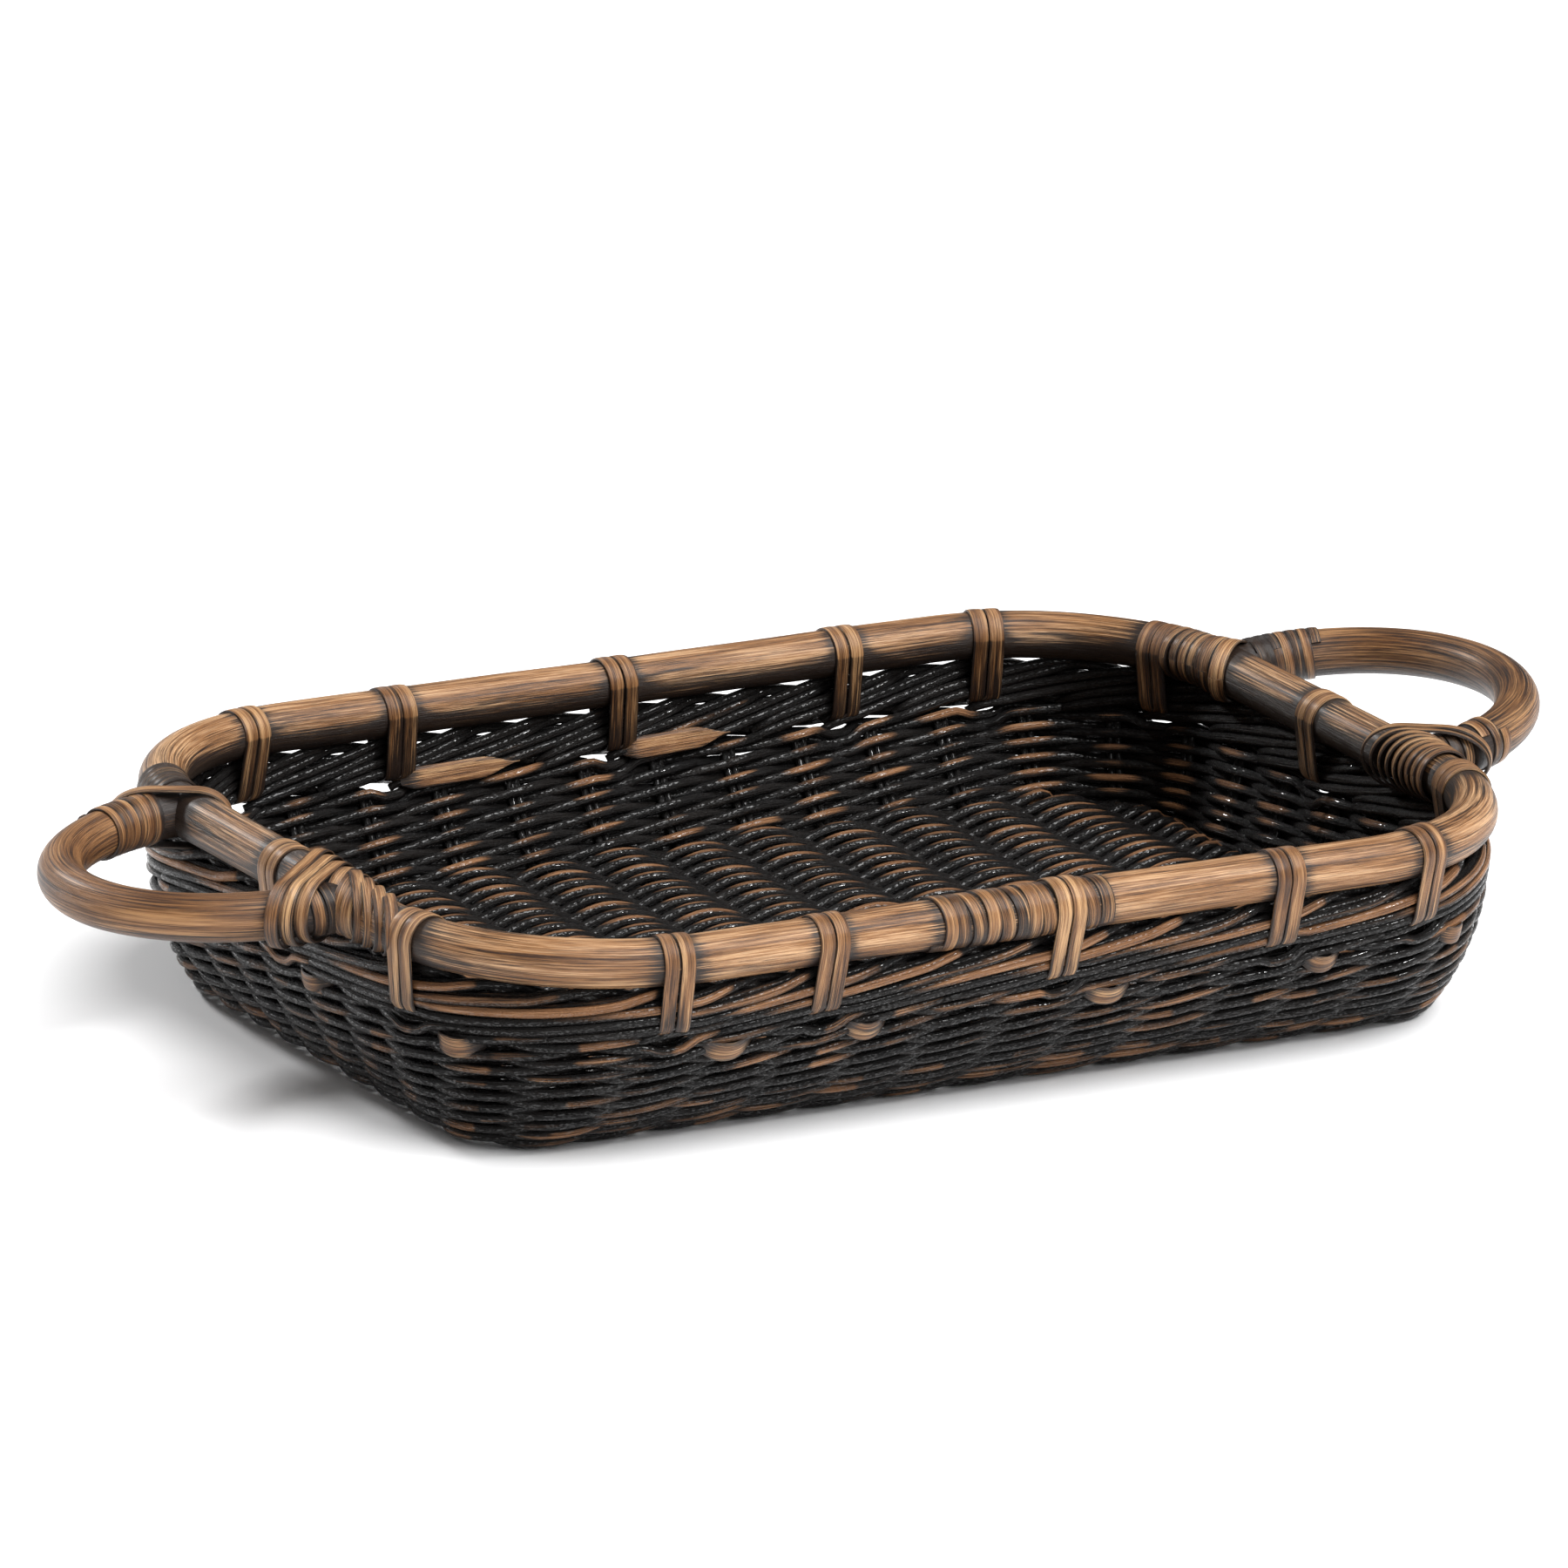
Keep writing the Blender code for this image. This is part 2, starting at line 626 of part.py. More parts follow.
def stake_runs():
    """Every modelled stake pair: name, points and the direction across the pair."""
    runs = []
    quarter = STAKES_ROUND // 4
    half_long = (LONG_STAKES - 1) // 2
    for i in range(-half_long, half_long + 1):
        back = column_points(quarter - i)
        front = column_points(3 * quarter + i)
        x = front[0][0].x
        low = [(Vector((x, y, floor_height(floor_share(x, y)))), Vector((1, 0, 0)))
               for y in (-0.100, -0.040, 0.040, 0.100)]
        points = list(reversed(front)) + low + back
        runs.append((f"stake_long_{i + half_long + 1:02d}",
                     [p for p, _ in points], [Vector((1, 0, 0))] * len(points)))
    for side, start in (("right", 0), ("left", 2 * quarter)):
        for k in END_STAKES:
            column = (start + k) % STAKES_ROUND
            points = column_points(column)
            foot, across = points[0]
            inward = Vector((-across.y, across.x, 0))
            root = Vector((foot.x, foot.y, FLOOR_EDGE - 0.0015)) + inward * 0.030
            runs.append((f"stake_{side}_{END_STAKES.index(k) + 1}",
                         [root, *(p for p, _ in points)], [across, *(a for _, a in points)]))
    return runs


def build_stakes(wall, base, border):
    for name, path, across in stake_runs():
        for grow in (0.0, STAKE_ROOM):
            rings = []
            for i, point in enumerate(path):
                before, after = path[max(i - 1, 0)], path[min(i + 1, len(path) - 1)]
                run = after - before
                side = (across[i] - run * (across[i].dot(run) / run.dot(run))).normalized()
                out = run.normalized().cross(side)
                start = point
                if grow and i in (0, len(path) - 1):
                    start = point + run.normalized() * (-GAP if i == 0 else GAP)
                rings.append([start + side * a + out * b for a, b in pair_outline(grow)])
            helper = grow > 0
            obj = add_mesh(name + ("_channel" if helper else ""), *sweep(None, rings, False),
                           "stake", helper=helper)
            if helper:
                cut(wall, obj)
                cut(base, obj)
                cut(border, obj)


def build_windows(wall):
    """Openings in the top of the wall, one under each strap."""
    for number, place in enumerate(strap_places(), 1):
        middle, _, normal = facet_frame(place)
        flat = middle + normal * wall_offset(place, WALL_TOP)
        window = box(f"window_{number:02d}", (0.030, WINDOW_W, 2 * WINDOW_H),
                     (flat.x, flat.y, WALL_TOP), (0, 0, math.atan2(normal.y, normal.x)))
        cut(wall, window)


def centre_on_box():
    """Hangs every piece on one point, set so that the whole basket's box is centred."""
    middle = bpy.data.objects.new("tray_middle", None)
    middle.location = CENTRE
    bpy.context.scene.collection.objects.link(middle)
    for obj in bpy.data.objects:
        if obj is not middle:
            obj.parent = middle


def main():
    clear_scene()
    rim = build_rim()
    for side in ("left", "right"):
        build_handle(side)
    build_nails(rim)
    build_bindings()
    build_straps()
    build_lashings()
    wall = build_wall()
    border = build_border()
    base = build_base()
    build_stakes(wall, base, border)
    build_windows(wall)
    centre_on_box()


main()
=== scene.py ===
"""Wicker log basket: every weaver, stake, border strand and turn of peel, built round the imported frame."""
import math

import bpy
import numpy as np
from mathutils import Matrix, Vector


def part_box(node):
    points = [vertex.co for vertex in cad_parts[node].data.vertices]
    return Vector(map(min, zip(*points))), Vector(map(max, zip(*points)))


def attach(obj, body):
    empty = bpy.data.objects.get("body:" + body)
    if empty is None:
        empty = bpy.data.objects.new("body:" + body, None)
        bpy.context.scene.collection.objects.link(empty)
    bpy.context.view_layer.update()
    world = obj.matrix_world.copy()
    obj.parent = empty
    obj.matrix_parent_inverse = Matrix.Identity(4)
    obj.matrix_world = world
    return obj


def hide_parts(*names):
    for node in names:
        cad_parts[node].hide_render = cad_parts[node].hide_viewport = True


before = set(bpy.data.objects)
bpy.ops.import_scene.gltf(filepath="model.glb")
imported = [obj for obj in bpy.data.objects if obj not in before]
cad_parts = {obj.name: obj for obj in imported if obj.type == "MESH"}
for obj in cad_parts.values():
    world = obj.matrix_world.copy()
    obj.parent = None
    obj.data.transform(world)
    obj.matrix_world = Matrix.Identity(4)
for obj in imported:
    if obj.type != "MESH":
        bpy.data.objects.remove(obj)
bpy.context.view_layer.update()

rng = np.random.default_rng(7)

# ---------------------------------------------------------------- sizes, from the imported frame
FACET = math.cos(math.pi / 12)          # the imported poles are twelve-sided
POLE_R = 0.0125
HANDLE_R = 0.0122
SNUG = 1.012                            # radius of a binding's underside, over its pole's radius
STRAP_SNUG = 1.015                      # and of a strap's
POLE_SIDES = 36
CORE_SIDES = 8
rim_low, rim_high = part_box("rim_pole")
CENTRE = np.array([(rim_low.x + rim_high.x) / 2, (rim_low.y + rim_high.y) / 2, 0.0])


def node_box(name):
    """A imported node's corners, measured from the middle of the tray."""
    low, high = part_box(name)
    return np.array(low) - CENTRE, np.array(high) - CENTRE


RIM_X, RIM_Y = node_box("rim_pole")[1][:2] - POLE_R * FACET
RIM_Z = (rim_low.z + rim_high.z) / 2
RIM_CORNER = 0.115
HANDLE_HALF = {"left": 0.087, "right": 0.095}
HANDLE_Y = {"left": 0.0205, "right": 0.014}
HANDLE_REACH = {"left": 0.107, "right": 0.1025}
HANDLE_RISE = {"left": -0.006, "right": 0.011}
HANDLE_OUT = 0.010
SPLICE_LOW, SPLICE_HIGH = node_box("rim_splice_binding")

# The wall's outline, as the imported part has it
TOP_OUT = 0.002                         # it stands this far outside the pole's centreline at the top
INSET_X, INSET_Y, INSET_C = 0.035, 0.066, 0.095     # and draws in this much at the ground
INSET_POWER, CORNER_POWER = 2.4, 2.2
PITCH = 0.0429                          # between stake pairs on the long sides
STAKE_SHIFT = -0.0165                   # the long-side stakes are shifted this far along X
END_SHIFT = {"right": -0.008, "left": -0.0155}
COLUMNS = 44                            # places round the wall, a stake pair at each
LONG_PART = 5                           # of them on either side of a long side's middle one
STAKE_R = 0.0021

WEAVER_R = 0.0026
FLOOR_WIDE = 1.14                       # a floor weaver's width over its thickness
SWING = 0.0052                          # about how far a weaver passes to either side of the stakes
STEPS = 12                              # samples of a wall weaver per stake
FOOT_Z = 0.0078                         # heights of the lowest and highest rounds
WALL_TOP = 0.0650
WALL_ROW = 0.0096                       # between rounds, each two weavers high outside the stakes
CLIMB = 0.0029                          # each climbs from the lower place to the upper
FLOOR_EDGE = 0.0235                     # height of the floor's middle surface at its edge
FLOOR_SAG = 0.0085                      # and how far it hangs lower in the middle
FLOOR_RUN = 0.150
FLOOR_IN = 0.0095                       # its outermost rows lie this far inside the wall's middle surface
FLOOR_DIVE = 0.0065                     # and the ends of all its rows this far
FLOOR_ROW = 0.0058

PEEL_T = 0.0013
BAND = 0.0083                           # a strap turn's width
BAND_PITCH = 0.0088
SPLICE_TURNS = 12
LASH_HALF = 0.020                       # half the stretch of pole that a lashing covers
WINDOW_SHIFT = 0.07                     # the wall's top is pushed down here, in columns from a strap
WINDOW_HALF = 0.0105                    # for this far either side
ENDS = (("left", "front"), ("left", "back"), ("right", "front"), ("right", "back"))


# ---------------------------------------------------------------- mesh collecting
def unit(v):
    return v / np.maximum(np.linalg.norm(v, axis=-1, keepdims=True), 1e-12)


def ease(low, high, value):
    """0 at low to 1 at high, with soft ends."""
    t = np.clip((value - low) / (high - low), 0, 1)
    return t * t * (3 - 2 * t)


def around(sides):
    return 2 * np.pi * (np.arange(sides) + 0.5) / sides


class Bundle:
    """Swept strands gathered into one mesh, with grain coordinates and shading values per point."""

    def __init__(self):
        self.points, self.faces, self.values, self.count = [], [], [], 0

    def sweep(self, path, up, section, closed=False, tone=None, rub=0.0, shade=0.0):
        """section is (m, 2) or (n, m, 2): offsets along side and up. rub and shade are numbers or
        (n, m) arrays."""
        path = np.asarray(path, float)
        n = len(path)
        if closed:
            run = np.roll(path, -1, 0) - np.roll(path, 1, 0)
        else:
            run = np.gradient(path, axis=0)
        run = unit(run)
        side = unit(np.cross(run, np.broadcast_to(up, path.shape)))
        up = np.cross(side, run)
        section = np.broadcast_to(section, (n, *np.shape(section)[-2:]))
        m = section.shape[1]
        ring = path[:, None] + side[:, None] * section[..., :1] + up[:, None] * section[..., 1:]
        index = np.arange(n * m).reshape(n, m)
        nxt = np.roll(index, -1, 0) if closed else index[1:]
        cur = index if closed else index[:-1]
        faces = np.stack([cur, np.roll(cur, -1, 1), np.roll(nxt, -1, 1), nxt], -1).reshape(-1, 4)
        if not closed:
            k = np.arange(m // 2 - 1)
            cap = np.stack([k, k + 1, m - 2 - k, m - 1 - k], -1)
            faces = np.concatenate([faces, cap[:, ::-1], cap + (n - 1) * m])
        points = ring.reshape(-1, 3)
        a, b, c, d = (points[faces[:, j]] - points.mean(0) for j in range(4))
        if (np.cross(a, b) * c).sum() + (np.cross(a, c) * d).sum() < 0:
            faces = faces[:, ::-1]
        step = np.linalg.norm(np.diff(path, axis=0), axis=1)
        along = np.concatenate([[0], np.cumsum(step)]) + rng.uniform(0, 40)
        tone = rng.uniform() if tone is None else tone
        shape = (n, m)
        grain = np.stack([np.broadcast_to(along[:, None], shape), section[..., 0], section[..., 1]], -1)
        values = np.concatenate([
            grain.reshape(-1, 3),
            np.broadcast_to(tone, shape).reshape(-1, 1),
            np.broadcast_to(rub, shape).reshape(-1, 1),
            np.broadcast_to(shade, shape).reshape(-1, 1)], 1)
        self.points.append(points)
        self.faces.append(faces + self.count)
        self.values.append(values)
        self.count += len(points)

    def build(self, name, material, slot, *nodes, sharp=None):
        """Make the mesh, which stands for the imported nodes."""
        points = (np.concatenate(self.points) + CENTRE).astype(np.float32)
        faces = np.concatenate(self.faces).astype(np.int32)
        values = np.concatenate(self.values).astype(np.float32)
        mesh = bpy.data.meshes.new(name)
        mesh.vertices.add(len(points))
        mesh.vertices.foreach_set("co", points.ravel())
        mesh.loops.add(faces.size)
        mesh.loops.foreach_set("vertex_index", faces.ravel())
        mesh.polygons.add(len(faces))
        mesh.polygons.foreach_set("loop_start", np.arange(0, faces.size, 4, dtype=np.int32))
        mesh.update(calc_edges=True)
        mesh.validate()
        mesh.shade_smooth()
        if sharp:
            mesh.set_sharp_from_angle(angle=math.radians(sharp))
        grain = mesh.attributes.new("grain", "FLOAT_VECTOR", "POINT")
        grain.data.foreach_set("vector", values[:, :3].ravel())
        for k, label in enumerate(("tone", "rub", "shade")):
            layer = mesh.attributes.new(label, "FLOAT", "POINT")
            layer.data.foreach_set("value", np.ascontiguousarray(values[:, 3 + k]))
        mesh.materials.append(material)
        piece = bpy.data.objects.new(name, mesh)
        bpy.context.scene.collection.objects.link(piece)
        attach(piece, "root")
        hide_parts(*nodes)


def round_section(radius, sides=CORE_SIDES, wide=1.0):
    a = around(sides)
    return np.stack([wide * np.sin(a), np.cos(a)], -1) * radius


def band_section(width, thick):
    """Flat peel: flat underneath, crowned on top, with rounded edges."""
    a = np.array([-1, -0.93, -0.6, 0.0, 0.6, 0.93, 1])
    top = np.stack([a * width / 2, thick * np.array([0.35, 0.78, 0.95, 1.0, 0.95, 0.78, 0.35])], -1)
    low = np.array([[width / 2 * 0.97, 0], [0, 0], [-width / 2 * 0.97, 0]])
    return np.concatenate([top, low])


# How much of the edge darkening each point of that section takes
BAND_EDGE = np.array([1.0, 0.75, 0.12, 0.0, 0.12, 0.75, 1.0, 1.0, 1.0, 1.0])


# ---------------------------------------------------------------- curved surfaces
def ring_point(distance, half_x, half_y, radius):
    """Point and outward normal round a rounded rectangle, from the middle of +X, anticlockwise."""
    flat_x, flat_y, arc = half_x - radius, half_y - radius, math.pi / 2 * radius
    quarter = flat_x + flat_y + arc
    q = np.floor(distance / quarter)
    d = distance - q * quarter
    odd = (q.astype(int) % 2) == 1
    first, out = np.where(odd, flat_x, flat_y), np.where(odd, half_y, half_x)
    turn = np.clip((d - first) / radius, 0, math.pi / 2)
    x = out - radius + radius * np.cos(turn) - np.maximum(d - first - arc, 0)
    y = np.minimum(d, first) + radius * np.sin(turn)
    c, s, n = np.cos(q * math.pi / 2), np.sin(q * math.pi / 2), q * math.pi / 2 + turn
    return np.stack([x * c - y * s, x * s + y * c], -1), np.stack([np.cos(n), np.sin(n)], -1)


def rim_point(distance):
    flat, normal = ring_point(distance, RIM_X, RIM_Y, RIM_CORNER)
    zero = np.zeros(len(flat))
    return np.column_stack([flat, zero + RIM_Z]), np.column_stack([normal, zero])


RIM_QUARTER = RIM_X + RIM_Y - 2 * RIM_CORNER + math.pi / 2 * RIM_CORNER
RIM_LENGTH = 4 * RIM_QUARTER
RIM_SAMPLES = np.arange(0, RIM_LENGTH, 0.001)
RIM_POINTS = rim_point(RIM_SAMPLES)[0]


def rim_distance(node):
    """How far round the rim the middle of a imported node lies."""
    middle = sum(node_box(node)) / 2
    return RIM_SAMPLES[np.argmin(((RIM_POINTS - middle)[:, :2] ** 2).sum(1))]


def ring_sizes(z, turn_in):
    """Half lengths and corner radius of the wall's middle surface at a height, less turn_in."""
    depth = (RIM_Z - z) / RIM_Z
    share = depth ** INSET_POWER
    return (RIM_X + TOP_OUT - INSET_X * share - turn_in, RIM_Y + TOP_OUT - INSET_Y * share - turn_in,
            RIM_CORNER + TOP_OUT - INSET_C * depth ** CORNER_POWER - 0.6 * turn_in)


def catmull(keys, t):
    """Smooth curve through evenly numbered keys."""
    i = np.clip(np.floor(t).astype(int), 0, len(keys) - 2)
    f = (t - i)[:, None]
    p0, p1 = keys[np.maximum(i - 1, 0)], keys[i]
    p2, p3 = keys[i + 1], keys[np.minimum(i + 2, len(keys) - 1)]
    return 0.5 * (2 * p1 + (p2 - p0) * f + (2 * p0 - 5 * p1 + 4 * p2 - p3) * f ** 2
                  + (3 * p1 - p0 - 3 * p2 + p3) * f ** 3)


# Heights up the wall's middle surface, and the distance up its slope at the long sides
FINE = np.linspace(0.004, 0.096, 400)
FINE_S = np.concatenate([[0], np.cumsum(np.hypot(np.diff(FINE), np.diff(ring_sizes(FINE, 0.0)[1])))])


def profile(s):
    """Height at a distance s up the long side's slope."""
    return np.interp(s, FINE_S, FINE)


def profile_at_height(z):
    return np.interp(z, FINE, FINE_S)


def column_distance(column, quarter):
    """Distance round a ring to a stake column, which need not be whole."""
    half = COLUMNS // 4
    column = np.mod(column, COLUMNS)
    side = np.floor(column / half)
    rest = column - side * half
    odd = side % 2 == 1
    rest = np.where(odd, half - rest, rest)
    right = (side == 0) | (side == 3)
    edge, split = quarter - LONG_PART * PITCH - np.where(right, STAKE_SHIFT, -STAKE_SHIFT), half - LONG_PART
    start = np.where(right, END_SHIFT["right"], END_SHIFT["left"]) * np.where(odd, -1, 1)
    d = np.where(rest <= split, start + (edge - start) * rest / split, edge + (rest - split) * PITCH)
    return side * quarter + np.where(odd, quarter - d, d)


def column_of(distance):
    """The column coordinate of a place on the rim, at the top of the wall."""
    grid = np.linspace(0, COLUMNS, 4401)
    sizes = ring_sizes(0.09, 0.0)
    quarter = sizes[0] + sizes[1] - 2 * sizes[2] + math.pi / 2 * sizes[2]
    where = column_distance(grid[:-1], quarter)
    target = np.mod(distance, RIM_LENGTH) / RIM_LENGTH * 4 * quarter
    return grid[np.argmin(np.abs(where - target))]


def wall_point(column, s):
    """Point and outward normal of the wall's middle surface at column coordinates and profile
    distances."""
    column, s = np.broadcast_arrays(np.asarray(column, float), np.asarray(s, float))

    def place(c, v):
        z = profile(v)
        sizes = ring_sizes(z, 0.0)
        quarter = sizes[0] + sizes[1] - 2 * sizes[2] + math.pi / 2 * sizes[2]
        return np.column_stack([ring_point(column_distance(c, quarter), *sizes)[0], z])

    here = place(column, s)
    along = place(column + 0.02, s) - place(column - 0.02, s)
    rise = place(column, s + 0.0006) - place(column, s - 0.0006)
    return here, unit(np.cross(along, rise))


# ---------------------------------------------------------------- materials
class Nodes:
    """Short names for building a node tree."""

    def __init__(self, name):
        self.material = bpy.data.materials.new(name)
        self.material.use_nodes = True
        self.tree = self.material.node_tree
        self.shader = self.tree.nodes["Principled BSDF"]

    def new(self, kind, **settings):
        node = self.tree.nodes.new(kind)
        for key, value in settings.items():
            setattr(node, key, value)
        return node

    def link(self, a, b):
        self.tree.links.new(a, b)

    def attribute(self, name, output="Fac"):
        return self.new("ShaderNodeAttribute", attribute_name=name).outputs[output]

    def math(self, operation, a, b=0.0, c=0.0):
        node = self.new("ShaderNodeMath", operation=operation)
        for socket, value in zip(node.inputs, (a, b, c)):
            if isinstance(value, (int, float)):
                socket.default_value = value
            else:
                self.link(value, socket)
        return node.outputs[0]

    def noise(self, vector, scale, detail=2.0, rough=0.5, shift=0.0):
        """Noise on a vector stretched by scale = (along, across)."""
        stretch = self.new("ShaderNodeVectorMath", operation="MULTIPLY_ADD")
        self.link(vector, stretch.inputs[0])
        stretch.inputs[1].default_value = (scale[0], scale[1], scale[1])
        stretch.inputs[2].default_value = (shift, shift * 1.7, shift * 0.6)
        node = self.new("ShaderNodeTexNoise")
        self.link(stretch.outputs[0], node.inputs["Vector"])
        node.inputs["Scale"].default_value = 1.0
        node.inputs["Detail"].default_value = detail
        node.inputs["Roughness"].default_value = rough
        return node.outputs["Fac"]

    def span(self, value, low, high, start=0.0, end=1.0):
        node = self.new("ShaderNodeMapRange", interpolation_type="SMOOTHSTEP")
        self.link(value, node.inputs["Value"])
        for socket, number in zip(("From Min", "From Max", "To Min", "To Max"), (low, high, start, end)):
            node.inputs[socket].default_value = number
        return node.outputs["Result"]

    def ramp(self, value, *stops):
        node = self.new("ShaderNodeValToRGB")
        self.link(value, node.inputs["Fac"])
        ramp = node.color_ramp
        while len(ramp.elements) < len(stops):
            ramp.elements.new(0.5)
        for element, (place, colour) in zip(ramp.elements, stops):
            element.position = place
            element.color = (*colour, 1.0)
        return node.outputs["Color"]

    def mix(self, factor, a, b):
        node = self.new("ShaderNodeMix", data_type="RGBA")
        self.link(factor, node.inputs["Factor"])
        for socket, value in ((node.inputs[6], a), (node.inputs[7], b)):
            if isinstance(value, tuple):
                socket.default_value = (*value, 1.0)
            else:
                self.link(value, socket)
        return node.outputs[2]

    def bump(self, height, strength, distance):
        node = self.new("ShaderNodeBump")
        node.inputs["Strength"].default_value = strength
        node.inputs["Distance"].default_value = distance
        self.link(height, node.inputs["Height"])
        self.link(node.outputs["Normal"], self.shader.inputs["Normal"])

    def put(self, **inputs):
        for name, value in inputs.items():
            socket = self.shader.inputs[name.replace("_", " ")]
            if isinstance(value, (int, float)):
                socket.default_value = value
            elif isinstance(value, tuple):
                socket.default_value = (*value, 1.0)
            else:
                self.link(value, socket)


# Dark colour mixed into rattan for real stain and for painted shade underneath and in low places
STAIN_AND_SHADE = (0.010, 0.0070, 0.0065)


def rattan(name, dark, brown, light, along, across, rough):
    """Stained rattan: long dark streaks in the grain and patches of stain, darker near anything
    wrapped round it, with painted shade underneath and in the low places, worn lighter elsewhere."""
    n = Nodes(name)
    grain = n.attribute("grain", "Vector")
    fine = n.noise(grain, (along, across), 5, 0.72)
    hair = n.noise(grain, (along * 3.2, across * 2.3), 3, 0.6, 3.1)
    mottle = n.noise(grain, (along * 0.7, across * 0.14), 3, 0.55, 7.7)
    patch = n.noise(grain, (along * 0.9, across * 0.09), 3, 0.6, 12.3)
    streak = n.math("MULTIPLY", n.span(patch, 0.38, 0.60), n.span(hair, 0.51, 0.59))
    value = n.math("MULTIPLY_ADD", fine, 0.46, n.math("MULTIPLY", hair, 0.26))
    value = n.math("MULTIPLY_ADD", mottle, 0.38, value)
    value = n.math("MULTIPLY_ADD", n.attribute("tone"), 0.07, n.math("SUBTRACT", value, 0.035))
    middle = tuple(0.6 * b + 0.4 * d for b, d in zip(brown, dark))
    colour = n.ramp(value, (0.465, dark), (0.505, middle), (0.545, brown), (0.635, light))
    colour = n.mix(n.math("MULTIPLY", streak, 0.75), colour, dark)
    # Mask towards the dark colour: stain patches plus the shade attribute, which holds painted shade
    # underneath and in low places
    stain_and_shade = n.math("MULTIPLY_ADD", fine, -2.0, n.math("ADD", n.attribute("shade"), 1.02))
    stain_and_shade = n.math("MULTIPLY_ADD", n.span(patch, 0.57, 0.70), 0.34, stain_and_shade)
    stain_and_shade = n.span(stain_and_shade, 0.15, 0.72, 0.0, 0.95)
    colour = n.mix(stain_and_shade, colour, STAIN_AND_SHADE)
    n.put(Base_Color=colour, Roughness=n.span(fine, 0.3, 0.7, rough + 0.10, rough - 0.04),
          Coat_Weight=0.22, Coat_Roughness=0.34, Specular_IOR_Level=0.35)
    n.bump(n.math("MULTIPLY_ADD", fine, 0.8, hair), 0.8, 0.0007)
    return n.material


def stained_core():
    """Round core under an almost black stain, rubbed through to brown where it stands proud, with a thin
    lacquer that catches the light in flecks."""
    n = Nodes("core_black")
    grain = n.attribute("grain", "Vector")
    fine = n.noise(grain, (30, 1300), 3, 0.6)
    flecks = n.noise(grain, (560, 1500), 2, 0.6, 5.0)
    patch = n.noise(grain, (15, 90), 3, 0.6, 9.0)
    rub = n.math("MULTIPLY_ADD", n.attribute("tone"), 0.26, n.attribute("rub"))
    rub = n.math("MULTIPLY_ADD", patch, 1.05, rub)
    rub = n.math("MULTIPLY_ADD", fine, 0.50, rub)
    worn = n.span(rub, 1.50, 1.98)
    brown = n.ramp(fine, (0.32, (0.085, 0.036, 0.016)), (0.54, (0.245, 0.118, 0.054)),
                   (0.72, (0.40, 0.215, 0.110)))
    black = n.ramp(patch, (0.3, (0.0022, 0.0020, 0.0021)), (0.75, (0.009, 0.0070, 0.006)))
    n.put(Base_Color=n.mix(worn, black, brown), Roughness=n.span(flecks, 0.35, 0.65, 0.30, 0.55),
          Coat_Weight=n.span(flecks, 0.50, 0.62, 0.0, 1.0), Coat_Roughness=0.11,
          Specular_IOR_Level=0.16)
    n.bump(n.math("MULTIPLY_ADD", flecks, 0.8, fine), 1.0, 0.0011)
    return n.material


POLE = rattan("pole_brown", (0.050, 0.019, 0.007), (0.29, 0.132, 0.047), (0.62, 0.375, 0.200),
              15, 1150, 0.40)
HANDLE = rattan("handle_brown", (0.040, 0.015, 0.006), (0.20, 0.087, 0.030), (0.42, 0.220, 0.092),
                15, 1150, 0.40)
PEEL = rattan("peel_brown", (0.055, 0.021, 0.008), (0.28, 0.126, 0.046), (0.62, 0.365, 0.175),
              22, 1900, 0.36)
CORE = stained_core()


def steel():
    n = Nodes("nail_steel")
    coords = n.new("ShaderNodeTexCoord").outputs["Object"]
    grey = n.noise(coords, (900, 900), 2)
    n.put(Base_Color=n.ramp(grey, (0.3, (0.20, 0.19, 0.18)), (0.7, (0.42, 0.41, 0.40))), Metallic=1.0,
          Roughness=n.span(grey, 0.3, 0.7, 0.32, 0.5))
    n.bump(grey, 0.2, 0.0002)
    return n.material


# ---------------------------------------------------------------- where the straps are
STRAP_NODES = [f"rim_strap_{i:02d}" for i in range(1, 16)]
STRAP_AT = [rim_distance(name) for name in STRAP_NODES]
STRAP_COLUMNS = np.array([column_of(d) for d in STRAP_AT])
SPLICE_MIDDLE = (SPLICE_LOW[0] + SPLICE_HIGH[0]) / 2
SPLICE_HALF = (SPLICE_HIGH[0] - SPLICE_LOW[0]) / 2
SPLICE_AT = 3 * RIM_QUARTER + SPLICE_MIDDLE


def round_gap(a, b, length):
    """Signed distance from b to a on a closed loop."""
    return np.mod(a - b + length / 2, length) - length / 2


def window_drop(column):
    """How much the top of the wall is pushed down where the straps pass through, 0 to 1."""
    total = np.zeros(np.shape(column))
    for at in STRAP_COLUMNS:
        gap = round_gap(column, at + WINDOW_SHIFT, COLUMNS) * PITCH
        total = np.maximum(total, np.exp(-(gap / WINDOW_HALF) ** 4))
    return total


# ---------------------------------------------------------------- weave
def rubbed(wave, angle, lean):
    """Where a weaver has been rubbed through: the crown of each bump, more on its upper side."""
    facing = np.sign(wave)[:, None] * np.cos(angle)[None]
    crown = np.clip(0.8 * facing + lean * np.sin(angle)[None] + 0.25, 0, 1.2)
    return np.abs(wave)[:, None] ** 1.3 * crown


